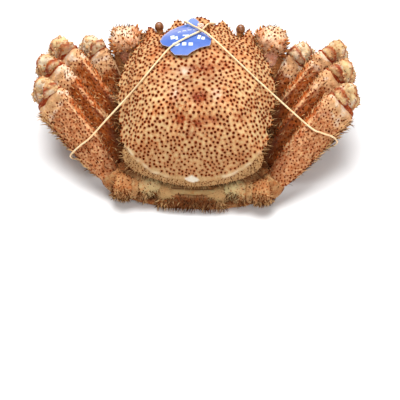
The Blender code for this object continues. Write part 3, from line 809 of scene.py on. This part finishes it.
def joint_skin(name, ends, size, up, seed, material, hair=1.9, reach=3.0, pale=0.3, grains=False, **masks):
    """The soft wrinkled skin between two segments, which reaches into both. size: half width, half height."""
    first, last = ends
    way = unit(last - first)
    up = unit(up - way * np.dot(up, way))
    across = np.cross(way, up)
    bm = bmesh.new()
    bmesh.ops.create_uvsphere(bm, u_segments=SKIN_SEGMENTS, v_segments=SKIN_ROWS, radius=1.0)
    mesh = mesh_of(name, bm)
    ball = points_of(mesh)
    ball = ball / (np.abs(ball) ** SKIN_POWER).sum(1, keepdims=True) ** (1 / SKIN_POWER)
    half = np.linalg.norm(last - first) / 2
    offsets = ball[:, :1] * across * size[0] + ball[:, 1:2] * up * size[1] + ball[:, 2:] * way * half
    points = (first + last) / 2 + offsets
    folds = 0.35 * np.sin((points @ way) * 2.2 + ripple(points, 6.0, seed))
    points = raised(mesh, points, unit(offsets), folds + 0.4 * ripple(points, 4.0, seed + 1))
    mesh.shade_smooth()
    made = linked(name, mesh)
    set_masks(mesh, pale=pale + 0.3 * ripple(points, 5.0, seed + 2) * (pale > 0), **masks)
    if grains:
        feet, ways = scatter(made, evenly(2.6), seed + 60)
        collect("grain", feet, ways, 0.4 + 0.2 * np.random.default_rng(seed + 61).random(len(feet)))
    grow_hair(made, evenly(hair), seed, np.random.default_rng(seed), 0.0, 0.4, 0.6, 0.8, 0.4, reach)
    if grains:
        grow_beard(made, seed + 62, reach)
    hand_in(made, material)


def set_masks(mesh, **masks):
    for name in ("halo", "red", "blush", "pale", "moss", "white", "deep"):
        set_value(mesh, name, np.clip(masks.get(name, 0.0) + np.zeros(len(mesh.vertices)), 0, 1))


# painted shade: shell and hair are darkened near the carapace, where the gaps beside it lie in shade
BODY_SHADE = 27.0  # the shell is darker within this distance of the carapace
BODY_STEP = 7  # every seventh point of the carapace is enough to measure from


def shade_near_body(points):
    return 1.0 - ramp(BODY_SHADE * 0.2, BODY_SHADE, distances(BODY, points))


def dress_merus(node, near, number, seed):
    """The long upper segment of a leg: ridges, a pale end at the knee, grains and lines of spines."""
    made, mesh, points, normals = skin_of(node)
    seg = Segment(node, near)
    t, tall = seg.shares(points)
    outer = number == 4
    edge = ramp(0.62, 0.9, np.abs(tall))
    knee_end = ramp(0.84, 0.93, t)
    first_pale = 0.68 if number == 1 else 0.77
    knee_tone = ramp(first_pale, first_pale + 0.11, t + 0.06 * ripple(points, 5.0, seed + 6))
    rise = 0.55 * ripple(points, 6.0, seed) + 0.35 * ripple(points, 2.6, seed + 1)
    rise += 0.7 * edge * ripple(points, 2.2, seed + 2)
    rise += 0.9 * bell(t, 0.93, 0.018) - 0.5 * bell(t, 0.89, 0.02)
    rise += 0.7 * bell(np.abs(tall), 0.68, 0.07) * (1.0 - knee_end)
    rise += 0.8 * knee_end * ripple(points, 5.0, seed + 9)
    points = raised(mesh, points, normals, rise)
    rng = np.random.default_rng(seed)

    def grain_gap(where, way):
        s, high = seg.shares(where)
        return np.where((s > 0.02) & (s < 0.9) & (np.abs(high) < 0.8), 2.5 if outer else 3.0, 0.0)

    feet, ways = scatter(made, grain_gap, seed)
    collect("grain", feet, ways, 0.48 + 0.42 * rng.random(len(feet)))

    def ridge_gap(where, way):
        s, high = seg.shares(where)
        return np.where((s > 0.03) & (s < 0.97) & (np.abs(high) > 0.76), 2.5, 0.0)

    ridge, ridge_ways = scatter(made, ridge_gap, seed + 40)
    collect("red", ridge, ridge_ways, 0.5 + 0.32 * rng.random(len(ridge)))

    def hair_gap(where, way):
        s, high = seg.shares(where)
        low_edge = ramp(-0.35, -0.8, high)
        return np.where(s < 0.93, 2.7 - 1.3 * low_edge - 0.9 * ramp(0.55, 0.9, high), 0.0)

    hairs, ways = scatter(made, hair_gap, seed + 80, HAIR_CROWD)
    lean = unit(ways * 0.6 + seg.axis * 0.95 + rng.normal(size=ways.shape) * 0.33)
    longer = ramp(-0.3, -0.85, seg.shares(hairs)[1])
    collect("hair", hairs, lean, 2.2 + 2.4 * rng.random(len(hairs)) + 2.4 * longer, 0.62 if outer else 0.5)

    # The inner legs' stronger red is partly painted bounce light between the legs; the darkening is painted
    # shade on the inner legs' faces, under the ridges and near the carapace.
    red = (0.22 if outer else 0.8) + 0.45 * edge + 0.5 * bell(t, 0.0, 0.1)
    lines = 1.25 * bell(np.abs(tall), 0.84, 0.05) * ramp(-0.5, 0.1, ripple(points, 3.4, seed + 5))
    set_masks(
        mesh,
        halo=nearness(points, feet, 1.3) * 0.75,
        red=red * (1.0 - 0.8 * knee_tone) + 0.9 * bell(t, 0.93, 0.016),
        blush=0.55 * nearness(points, ridge, 1.5)
        + (0.15 if outer else 0.4) * ramp(0.0, 0.5, ripple(points, 3.0, seed + 4)),
        pale=0.95 * knee_tone + 0.25 * (1.0 - edge) * outer + lines,
        moss=0.35 * knee_tone * ramp(-0.1, 0.3, ripple(points, 4.0, seed + 7)),
        white=0.5 * knee_tone * ramp(0.0, 0.4, ripple(points, 5.0, seed + 8)),
        deep=(0.0 if outer else 0.35) * (1.0 - edge) * (1.0 - knee_tone)
        + (0.2 if outer else 0.5) * bell(np.abs(tall), 0.72, 0.05) * (1.0 - knee_tone)
        + 1.05 * shade_near_body(points),
    )
    hand_in(made, LEG, node=node)
    return seg


KNEE_REACH = 12.6  # from the end of the upper segment to the middle of the bend


def dress_knee(node, merus, shin_start, seed, painted_lit):
    """The bent carpus: lines across the bend, pale skin between them and knobs."""
    made, mesh, points, normals = skin_of(node)
    across = shin_start - merus.end
    fold = across - merus.axis * np.dot(across, merus.axis)
    fold = fold / np.linalg.norm(fold)
    pivot = merus.end + fold * KNEE_REACH

    def bend(where):
        """Degrees round the bend, 0 level with the end of the upper segment."""
        off = where - pivot
        return np.degrees(np.arctan2(off @ merus.axis, -(off @ fold)))

    turn = bend(points) + 4.0 * ripple(points, 6.0, seed)
    first, second, third = bell(turn, 9.0, 5.5), bell(turn, 46.0, 5.0), bell(turn, 84.0, 4.5)
    groove = bell(turn, 24.0, 5.0) + bell(turn, 62.0, 6.0)
    rise = 1.5 * ripple(points, 8.0, seed + 1) + 0.8 * ripple(points, 3.4, seed + 2)
    rise += 1.0 * first + 1.4 * second + 0.7 * third - 1.4 * groove
    points = raised(mesh, points, normals, rise)
    rng = np.random.default_rng(seed)
    knobs, ways = scatter(made, evenly(4.6), seed)
    sizes = 0.6 + 0.6 * rng.random(len(knobs))
    pick = rng.random(len(knobs)) < 0.5
    collect("knob", knobs[pick], ways[pick], sizes[pick] * 1.5)
    collect("red", knobs[~pick], ways[~pick], sizes[~pick] * 0.7)

    def hair_gap(where, way):
        return 2.8 - 1.2 * ramp(30.0, 90.0, bend(where))

    grow_hair(made, hair_gap, seed + 80, rng, fold * 0.3, 0.3, 1.4, 2.0, 0.65)
    # painted light on the first legs' knees: paler, whiter and less shaded, as if lit more
    late = ramp(66.0, 96.0, turn) * (0.4 if painted_lit else 1.0)
    between = (1.0 - late) * (1.0 - first) * (1.0 - second)
    spots = ramp(0.25, 0.5, ripple(points, 4.2, seed + 6))
    set_masks(
        mesh,
        red=1.5 * first + 1.4 * second + 1.0 * third + 0.6 * late + 0.7 * spots,
        blush=0.9 * first
        + 0.7 * second
        + 0.4 * late * (ripple(points, 3.0, seed + 3) > 0.1)
        + 0.3 * spots,
        pale=(0.9 if painted_lit else 0.45) * between,
        moss=0.2 * ramp(0.1, 0.5, ripple(points, 6.0, seed + 9)) * (1.0 - late),
        white=(0.5 * ramp(0.05, 0.4, ripple(points, 4.6, seed + 5)) + 0.35 * painted_lit) * between,
        # painted shade on the far end of the bend and in its grooves
        deep=(0.1 if painted_lit else 0.4) * ramp(70.0, 115.0, turn)
        + (0.15 if painted_lit else 0.3) * np.clip(groove, 0, 1),
        halo=nearness(points, knobs, 1.5) * 0.5,
    )
    hand_in(made, KNEE, node=node)


def dress_plain(
    node, near, seed, material, gap, size, red,
    deep=0.0, hair=2.2, pale=0.2, reach=3.2, beard=0.0, far_red=0.0,
):
    """Any other shell segment: grained, hairy and redder at its ends, with longer hair below and behind."""
    made, mesh, points, normals = skin_of(node)
    seg = Segment(node, near)
    t, _ = seg.shares(points)
    rise = 0.35 * ripple(points, 5.0, seed) + 0.18 * ripple(points, 2.4, seed + 1)
    points = raised(mesh, points, normals, rise)
    rng = np.random.default_rng(seed)
    feet = np.zeros((0, 3))
    if gap:
        feet, ways = scatter(made, evenly(gap), seed)
        collect("grain", feet, ways, size * (0.8 + 0.5 * rng.random(len(feet))))
    grow_hair(made, evenly(hair), seed + 80, rng, seg.axis * 0.4, 0.35, 0.5, 0.7, 0.45, reach)
    if beard:
        grow_beard(made, seed + 120, beard)
    ends = bell(t, 0.0, 0.12) + bell(t, 1.0, 0.1)
    set_masks(
        mesh,
        halo=nearness(points, feet, 1.2) * 0.6 if len(feet) else np.zeros(len(points)),
        red=red + (0.3 if red > 0.25 else 0.0) * ends + far_red * ramp(0.45, 0.85, t),
        blush=0.3 * ends * (red > 0.3),
        pale=pale * (1.0 - ramp(0.5, 0.9, t) * (far_red > 0)),
        # painted shade: darker by the given amount, and legs darker near the carapace
        deep=deep + (0.6 * shade_near_body(points) if material == LEG else 0.0),
    )
    hand_in(made, material, node=node)


LEG_CORE = np.array((0.0, 0.0, -30.0))  # where the legs meet
# tones of the soft parts round the hind legs; the darkening is painted shade where they tuck in between
# carapace, legs and tail
HIND_MASKS = {
    "coxa_skin": {"pale": 0.4},
    "rear_skin": {"moss": 0.5},
    "skirt": {"pale": 0.1, "red": 0.3, "deep": 0.25},
    "corner_skin": {"red": 0.2, "deep": 0.3},
    "flank_skin": {"red": 0.2, "deep": 0.3},
}


def skin_hind_root(side, near, far, seed):
    """The soft parts round the first joint of a hind leg, between carapace and tail."""
    rows = (
        ("coxa_skin", near * 0.12 + far * 0.88, near * 0.68 + far * 0.32, (9.7, 10.1), 8, ROOT, 1.1, 4.0),
        ("rear_skin", near * (0.2, 1.12, 1.08), near, (8.2, 8.6), 9, TAIL, 1.3, 3.6),
        ("skirt", near * (0.42, 1.15, 1.22), far * (0.93, 1.05, 1.35), (5.5, 4.5), 4, ROOT, 1.1, 4.0),
        ("corner_skin", near * (1.25, 0.77, 1.0), far * (1.12, 0.78, 1.05), (6.5, 6.0), 3, SKIN, 1.2, 3.4),
        ("flank_skin", near * (1.15, 0.82, 0.74), far, (8.0, 6.0), 5, ROOT, 1.2, 4.0),
    )
    for name, start, end, size, more, paint, hair, reach in rows:
        masks = HIND_MASKS[name]
        joint_skin(f"{name}_{side}", (start, end), size, UP, seed + more, paint, hair, reach, **masks)


def dress_leg(side, number, seed):
    tag = f"{side}_{number}"
    hind = number == 4
    coxa, knee, shin = f"coxa_{tag}", f"carpus_{tag}", f"propodus_{tag}"
    root = f"ischium_{tag}" if hind else coxa
    if hind:
        looks = {"hair": 2.4, "pale": 0.5, "reach": 2.6, "beard": 4.2, "far_red": 0.35}
        dress_plain(coxa, LEG_CORE, seed, SMOOTH, 4.2, 0.3, 0.0, **looks)
        dress_plain(root, centre_of(coxa), seed + 1, ROOT, 2.5, 0.5, 0.2, hair=1.9, reach=3.0, beard=3.6)
        skin_hind_root(side, centre_of(coxa), centre_of(root), seed)
    else:
        # painted shade on the coxa of the front legs
        dress_plain(root, LEG_CORE, seed, LEG, 3.4, 0.45, 0.6, deep=0.3)
    merus = dress_merus(f"merus_{tag}", centre_of(root), number, seed + 2)
    hip = Segment(root, LEG_CORE)
    ends = hip.end - hip.axis * 4.0, merus.start + merus.axis * (7.0 if hind else 4.0)
    # the last value is painted shade on the hip skin, more on the front legs
    size, paint, deep = ((8.4, 10.2), ROOT, 0.1) if hind else ((6.6, 8.6), SKIN, 0.3)
    looks = {"red": 0.3, "deep": deep, "grains": True}
    joint_skin(f"hip_skin_{tag}", ends, size, merus.tall, seed + 6, paint, 1.5, 3.4, **looks)
    ends = merus.end - merus.axis * 3.4, merus.end + merus.axis * 3.4
    size = merus.half_thin * 1.06, merus.half_tall * 0.93
    looks = {"pale": 0.0, "red": 1.2, "blush": 0.75}
    joint_skin(f"knee_skin_{tag}", ends, size, merus.tall, seed + 7, KNEE, 3.0, 1.6, **looks)
    # the first legs' knees get painted light
    dress_knee(knee, merus, Segment(shin, centre_of(knee)).start, seed + 3, number == 1)
    dress_plain(shin, centre_of(knee), seed + 4, LEG, 2.6, 0.5, 0.5, hair=1.7)
    dress_plain(f"dactylus_{tag}", centre_of(shin), seed + 5, LEG, 2.8, 0.32, 0.35, hair=1.6, reach=2.4)


def dress_wrist(side, sign):
    """A claw's wrist: grains on its top, and thorns on its rear and lower side."""
    node = f"claw_wrist_{side}"
    made, mesh, points, normals = skin_of(node)
    centre = centre_of(node)
    rise = 1.3 * ripple(points, 8.0, 7) + 0.6 * ripple(points, 3.0, 8)
    points = raised(mesh, points, normals, rise)
    rng = np.random.default_rng(70 + int(sign))

    def thorny(where):
        """1 on the rear and lower side, 0 on the dotted top."""
        rear = ramp(2.0, -6.0, where[:, 1] - centre[1] + 0.45 * (where[:, 2] - centre[2] - 8.0))
        return np.maximum(rear, ramp(-4.0, -9.0, sign * (where[:, 0] - centre[0])))

    def gap(where, way):
        return 2.7 + 1.5 * thorny(where)

    feet, ways = scatter(made, gap, 71 + int(sign))
    rear = thorny(feet)
    pick = rng.random(len(feet)) < 0.12 + 0.75 * rear
    forward = unit(ways[pick] + np.array((sign * 0.3, 0.5, 0.4)))
    collect("spine", feet[pick], forward, 0.8 + 0.7 * rear[pick] * rng.random(pick.sum()))
    collect("grain", feet[~pick], ways[~pick], 0.6 + 0.35 * rng.random((~pick).sum()))
    grow_hair(made, evenly(2.0), 75 + int(sign), rng, np.array((sign * 0.2, 0.3, 0.3)), 0.3, 2.0, 2.6, 0.6)
    back = thorny(points)
    low = ramp(-2.0, -12.0, points[:, 2] - centre[2])
    set_masks(
        mesh,
        halo=nearness(points, feet, 1.5) * 0.8,
        red=0.45 * back + 0.3 * low,
        blush=0.3 * back * (ripple(points, 4.0, 12) > 0.15) + 0.1 * low,
        pale=0.6 * (1.0 - back) * (1.0 - low) + 0.3 * back * (ripple(points, 5.0, 13) > 0.0),
        white=0.4 * (1.0 - back) * ramp(0.0, 0.4, ripple(points, 4.0, 9)),
    )
    hand_in(made, WRIST, node=node)


def dress_claws():
    for side, sign in (("left", -1.0), ("right", 1.0)):
        seed = 500 if sign < 0 else 560
        arm, wrist, palm = (centre_of(f"claw_{part}_{side}") for part in ("arm", "wrist", "palm"))
        # painted shade on the arm
        dress_plain(f"claw_arm_{side}", np.array((0.0, 10.0, -36.0)), seed, LEG, 3.2, 0.5, 0.5, deep=0.2)
        dress_wrist(side, sign)
        elbow = Segment(f"claw_arm_{side}", np.zeros(3)).end
        ends = elbow * (0.96, 0.9, 1.0), wrist
        joint_skin(f"elbow_skin_{side}", ends, (10.0, 9.5), UP, seed + 4, MAUVE, 1.8, 3.0, red=0.3)
        outer = elbow + (sign * 7.5, -6.0, 3.0)
        ends = outer + (sign * -10.0, -14.0, -6.0), wrist + (sign * 7.5, -3.5, -6.5)
        # painted shade on the skin under the arm
        joint_skin(f"arm_skin_{side}", ends, (7.4, 7.6), UP, seed + 5, SKIN, 1.2, 4.5, red=0.3, deep=0.3)
        dress_plain(f"claw_palm_{side}", arm, seed + 1, LEG, 2.7, 0.55, 0.3, hair=2.0, pale=0.3)
        looks = {"hair": 3.0, "pale": 0.3, "reach": 2.0}
        dress_plain(f"claw_finger_{side}", palm, seed + 2, LEG, 3.0, 0.35, 0.25, **looks)


# ---- underside, tail, eyes
def dress_underside():
    centre = np.zeros(3)
    dress_plain("sternum", centre, 600, SMOOTH, 0, 0.3, 0.12, hair=4.0, pale=0.5, reach=2.0)
    for side in ("left", "right"):
        dress_plain(f"maxilliped_{side}", centre, 610, SMOOTH, 3.4, 0.35, 0.3, hair=2.2, reach=3.0)


TAIL_SEAMS = (-70.0, -75.6)  # where the tail's rings meet, seen from behind and above
UNDERSIDE = -34.0  # below this height the tail shows its underside
RING_LENGTH = 11.0  # from seam to seam there


def dress_tail():
    """The folded tail: seams between its rings, and a fringe of hair behind."""
    made, mesh, points, normals = skin_of("abdomen", voxel=0.8)
    y, z = points[:, 1], points[:, 2]
    wobble = 0.5 * ripple(points, 9.0, 31)
    bow = 0.0016 * points[:, 0] ** 2
    seam = np.zeros(len(points))
    for place in TAIL_SEAMS:
        seam += bell(y + wobble - place - bow, 0.0, 0.55) * (z > UNDERSIDE)
    for k in range(1, 6):
        seam += bell(y + wobble + 77.0 - k * RING_LENGTH, 0.0, 0.6) * (z < UNDERSIDE)
    points = raised(mesh, points, normals, 0.25 * ripple(points, 4.0, 32) - 0.7 * np.clip(seam, 0, 1))
    off_middle = np.abs(points[:, 0]) + 2.0 * ripple(points, 4.0, 35)
    rear = ramp(-75.0, -77.5, y) * ramp(26.0, 13.0, off_middle)

    def hair_gap(where, way):
        back = ramp(-74.5, -77.0, where[:, 1])
        return np.where(where[:, 1] < -74.0, 3.0 - 1.95 * back, 0.0)

    grow_hair(made, hair_gap, 34, np.random.default_rng(33), (0.0, -0.5, -0.15), 0.35, 2.6, 3.0, 0.36)
    set_masks(
        mesh,
        red=0.4 * rear + 0.3 * seam,
        blush=0.2 * rear,
        pale=0.35 * (1.0 - rear) * bell(y, -73.0, 2.5),
        # painted shade in the seams and along the lower rear edge
        deep=0.8 * np.clip(seam, 0, 1) + 0.55 * rear,
    )
    hand_in(made, TAIL, node="abdomen")


def eye_paint():
    p = Paint("eye", 0.3, 0.3)
    stalk = p.mix(p.sharpen(p.noise(1.6, 3.0), 0.35, 0.65), (0.62, 0.26, 0.08), (0.78, 0.50, 0.22))
    ball = p.mix(p.sharpen(p.noise(2.0, 3.0), 0.35, 0.7), (0.13, 0.034, 0.010), (0.34, 0.135, 0.045))
    colour = p.mix(p.value("ball"), stalk, ball)
    return p.finish(colour, [(p.noise(0.6, 2.0), 0.05)])


def dress_eyes():
    paint = eye_paint()
    for side in ("left", "right"):
        made, mesh, points, normals = skin_of(f"eye_{side}", 3, 0.0, 0)
        t, _ = Segment(f"eye_{side}", np.array((0.0, 60.0, -10.0))).shares(points)
        raised(mesh, points, normals, -0.3 * bell(t, 0.42, 0.05))
        set_value(mesh, "ball", ramp(0.44, 0.52, t))
        hand_in(made, paint, node=f"eye_{side}")


# ---- collected studs and hair
STUD_FOOT = 1.5  # grains and hair have their feet at least this far above the ground
LOW_DOME = ((1.15, -0.3), (0.85, 0.5))
DOME = ((1.25, -0.3), (0.95, 0.3), (0.6, 0.8))
CONE = ((1.0, -0.3), (0.7, 0.4), (0.35, 0.8))
# kind, piece, height for a radius of 1, profile, sides, seed, paint
STUD_KINDS = (
    ("grain", "leg_grains", 1.1, LOW_DOME, 6, 41, LEG_GRAIN),
    ("red", "leg_spines", 1.9, CONE, 6, 42, RED_SPINE),
    ("knob", "knee_knobs", 0.9, DOME, 8, 45, KNOB),
    ("spine", "pale_spines", 3.0, CONE, 6, 43, SPINE),
)
HAIR_BATCH = 18000


def joined(kind):
    rows = [(feet, ways, sizes, np.full(len(feet), shade)) for feet, ways, sizes, shade in STUDS[kind]]
    columns = [np.concatenate(column) for column in zip(*rows)]
    fine = to_world(columns[0])[:, 2] > STUD_FOOT * MM
    return [column[fine] for column in columns]


def plant_all():
    for kind, name, tallness, profile, sides, seed, paint in STUD_KINDS:
        feet, ways, sizes, _ = joined(kind)
        planted = studs(name, feet, ways, sizes, sizes * tallness, profile, sides, seed)
        hand_in(planted, paint)
    feet, ways, lengths, shade = joined("hair")
    fine = above_ground(feet, ways, lengths)
    feet, ways, lengths, shade = feet[fine], ways[fine], lengths[fine], shade[fine]
    # painted shade: hairs near the carapace are made darker
    shade = shade - 0.5 * shade_near_body(feet)
    for batch in range(0, len(feet), HAIR_BATCH):
        part = slice(batch, batch + HAIR_BATCH)
        clumped = np.random.default_rng(batch).random(len(lengths[part])) < 0.36
        radii = (0.12 + 0.022 * lengths[part]) * np.where(clumped, 2.2, 1.0)
        name = f"leg_hair_{batch // HAIR_BATCH + 1}"
        hair = bristles(name, feet[part], ways[part], lengths[part], radii, 44 + batch, shade[part])
        hand_in(hair, HAIR)


# ---- tag and band
def tag_paint():
    p = Paint("tag_plastic", 0.45, 0.0, 0.35)
    blue = p.mix(p.sharpen(p.noise(9.0, 2.0), 0.35, 0.65), (0.060, 0.126, 0.43), (0.072, 0.149, 0.468))
    blue = p.mix(p.value("neck"), blue, (0.17, 0.25, 0.53))
    colour = p.mix(p.value("rim"), blue, (0.80, 0.74, 0.84))
    return p.finish(colour, [(p.noise(0.8, 2.0), 0.02)])


def print_paint():
    p = Paint("white_print", 0.4, 0.2)
    return p.finish(p.mix(p.sharpen(p.noise(2.0, 3.0), 0.35, 0.7), (0.80, 0.84, 0.92), (0.55, 0.64, 0.85)))


def dress_tag():
    """The badge, with a bevelled pale rim and plain white shapes in place of its lettering."""
    bm = welded("tag")
    bmesh.ops.subdivide_edges(bm, edges=bm.edges, cuts=2, use_grid_fill=True)
    mesh = mesh_of("tag_skin", bm)
    set_points(mesh, to_level(points_of(mesh)))
    made = linked("tag_skin", mesh)
    softer = made.modifiers.new("edge", "BEVEL")
    softer.width = 0.28
    softer.segments = 2
    softer.angle_limit = math.radians(50)
    dense = baked(made)
    dense.set_sharp_from_angle(angle=math.radians(40))
    points, normals = points_of(dense), normals_of(dense)
    set_value(dense, "rim", 1.0 - ramp(0.55, 0.9, np.abs(normals[:, 2])))
    set_value(dense, "neck", ramp(62.0, 66.0, points[:, 1]))
    top = mesh_copy(made, points)
    hand_in(made, tag_paint(), node="tag")
    print_tag(top)
    bpy.data.objects.remove(top)


# Plain shapes printed on the tag: (x, y, half width, half length, turn in degrees, round)
PRINT = [
    (-15.8, 52.2, 1.3, 0.6, 24, False), (-11.8, 53.9, 1.5, 0.6, 14, False), (-7.2, 54.9, 1.4, 0.6, 6, False),
    (-3.0, 55.2, 1.3, 0.6, 0, False), (-20.6, 44.4, 1.7, 2.6, 12, False), (-17.2, 43.2, 1.0, 2.4, 12, False),
    (-9.8, 46.2, 2.6, 1.0, 0, False), (-8.6, 43.6, 1.6, 1.4, 0, False), (1.2, 43.8, 1.2, 2.6, -8, False),
    (4.6, 42.6, 1.4, 2.0, -8, False), (-17.0, 35.2, 3.0, 2.4, 0, True), (-10.4, 34.9, 1.7, 1.7, 0, False),
    (-5.0, 34.6, 1.7, 1.7, 0, False),
]
PRINT_STEPS = 6
PRINT_LIFT = 0.06
PRINT_FROM = 80.0  # the shapes are dropped onto the tag from this height
PRINT_MISSED = 25.0


def print_tag(top):
    """The shapes as thin sheets that lie on the tag."""
    verts, faces = [], []
    bpy.context.scene.collection.objects.link(top)
    bpy.context.view_layer.update()
    for x, y, half_wide, half_long, turn, is_round in PRINT:
        first = len(verts)
        c, s = math.cos(math.radians(turn)), math.sin(math.radians(turn))
        for i in range(PRINT_STEPS + 1):
            for j in range(PRINT_STEPS + 1):
                u, v = 2 * i / PRINT_STEPS - 1, 2 * j / PRINT_STEPS - 1
                if is_round:
                    u, v = u * math.sqrt(1 - v * v / 2), v * math.sqrt(1 - u * u / 2)
                px, py = u * half_wide, v * half_long
                spot = Vector((x + px * c - py * s, y + px * s + py * c, PRINT_FROM))
                hit, where, way, _ = top.ray_cast(spot, Vector((0, 0, -1)))
                verts.append(where + way * PRINT_LIFT if hit else Vector((spot.x, spot.y, PRINT_MISSED)))
        for i in range(PRINT_STEPS):
            for j in range(PRINT_STEPS):
                a = first + i * (PRINT_STEPS + 1) + j
                b = a + PRINT_STEPS + 1
                faces += [(a, b, b + 1), (a, b + 1, a + 1)]
    made = mesh_from("tag_print", np.array([tuple(v) for v in verts]), np.array(faces), {})
    hand_in(made, print_paint())


def rubber_paint(name, light, warm):
    p = Paint(name, 0.45, 0.1)
    p.shader.inputs["Subsurface Weight"].default_value = 0.15
    p.shader.inputs["Subsurface Radius"].default_value = (0.002, 0.001, 0.0006)
    colour = p.mix(p.sharpen(p.noise(6.0, 3.0), 0.35, 0.65), light, warm)
    colour = p.over(colour, (0.70, 0.42, 0.20), p.noise(1.0, 2.0), 0.5, 0.8, 0.3)
    return p.finish(colour, [(p.noise(0.7, 2.0), 0.04)])


KNOT_AT = (1.6, 56.5, 27.2)
KNOT_STEPS = 60
KNOT_THICK = 0.62


def dress_band():
    """The rubber band and the small knot where it crosses itself on the tag."""
    rubber = rubber_paint("rubber", (0.90, 0.72, 0.44), (0.86, 0.60, 0.32))
    hand_in(refined("band", 2), rubber, node="band")
    curve = bpy.data.curves.new("knot", "CURVE")
    curve.dimensions = "3D"
    curve.bevel_depth = KNOT_THICK
    curve.bevel_resolution = 3
    spline = curve.splines.new("POLY")
    spline.points.add(KNOT_STEPS - 1)
    for k, point in enumerate(spline.points):
        a = 2 * math.pi * k / KNOT_STEPS
        reach = 1.25 + 0.55 * math.cos(3 * a)
        x, y, z = reach * math.cos(2 * a) * 1.25, reach * math.sin(2 * a), 0.75 * math.sin(3 * a)
        point.co = (x + KNOT_AT[0], y + KNOT_AT[1], z + KNOT_AT[2], 1.0)
    spline.use_cyclic_u = True
    drawn = linked("knot", curve)
    mesh = bpy.data.meshes.new_from_object(evaluated(drawn))
    bpy.data.objects.remove(drawn)
    mesh.materials.clear()
    mesh.shade_smooth()
    pink_rubber = rubber_paint("knot_rubber", (0.90, 0.66, 0.52), (0.86, 0.52, 0.40))
    hand_in(linked("band_knot", mesh), pink_rubber)


# ---- stage, light and camera
CAMERA_FROM_ORIGIN = np.array((27.06, -449.37, 393.27)) * MM
LOOK = Vector((-0.0343, 0.6552, -0.7547))
RIGHT = Vector((0.9986, 0.0523, 0.0))
LENS, SENSOR = 63.9, 36.0
LIT_AT = Vector((0.0, 0.0, 0.03))
FLOOR_HALF = 3.0


def area_light(name, place, size, power):
    light = bpy.data.lights.new(name, "AREA")
    light.shape = "SQUARE"
    light.size = size
    light.energy = power
    made = linked(name, light)
    made.location = place
    made.rotation_euler = (LIT_AT - Vector(place)).to_track_quat("-Z", "Y").to_euler()


def set_stage():
    bm = bmesh.new()
    bmesh.ops.create_grid(bm, x_segments=1, y_segments=1, size=FLOOR_HALF)
    mesh = mesh_of("floor", bm)
    floor = linked("floor", mesh)
    p = Paint("pale_floor", 0.6)
    p.finish(p.mix(p.noise(300.0, 2.0), (0.86, 0.86, 0.87), (0.90, 0.90, 0.90)))
    mesh.materials.append(p.material)

    world = bpy.data.worlds.new("studio")
    world.use_nodes = True
    world.node_tree.nodes["Background"].inputs["Color"].default_value = (1.0, 0.99, 0.98, 1.0)
    world.node_tree.nodes["Background"].inputs["Strength"].default_value = 0.30
    bpy.context.scene.world = world
    bpy.context.scene.view_settings.view_transform = "Standard"
    area_light("overhead", (-0.06, 0.15, 0.95), 0.7, 14.0)
    area_light("front", (0.35, -0.8, 0.6), 0.6, 4.0)

    camera = bpy.data.cameras.new("camera")
    camera.lens = LENS
    camera.sensor_width = SENSOR
    made = linked("camera", camera)
    axes = Matrix((RIGHT, RIGHT.cross(LOOK), -LOOK)).transposed()
    made.matrix_world = Matrix.Translation(Vector(ORIGIN + CAMERA_FROM_ORIGIN)) @ axes.to_4x4()
    bpy.context.scene.camera = made


shell_points = dress_carapace()
fringe_carapace(shell_points)
BODY = tree_of(shell_points[::BODY_STEP])
for leg_seed, leg_side in ((100, "left"), (1100, "right")):
    for leg_number in (1, 2, 3, 4):
        dress_leg(leg_side, leg_number, leg_seed + leg_number * 10)
dress_claws()
dress_underside()
dress_tail()
dress_eyes()
plant_all()
dress_tag()
dress_band()
set_stage()
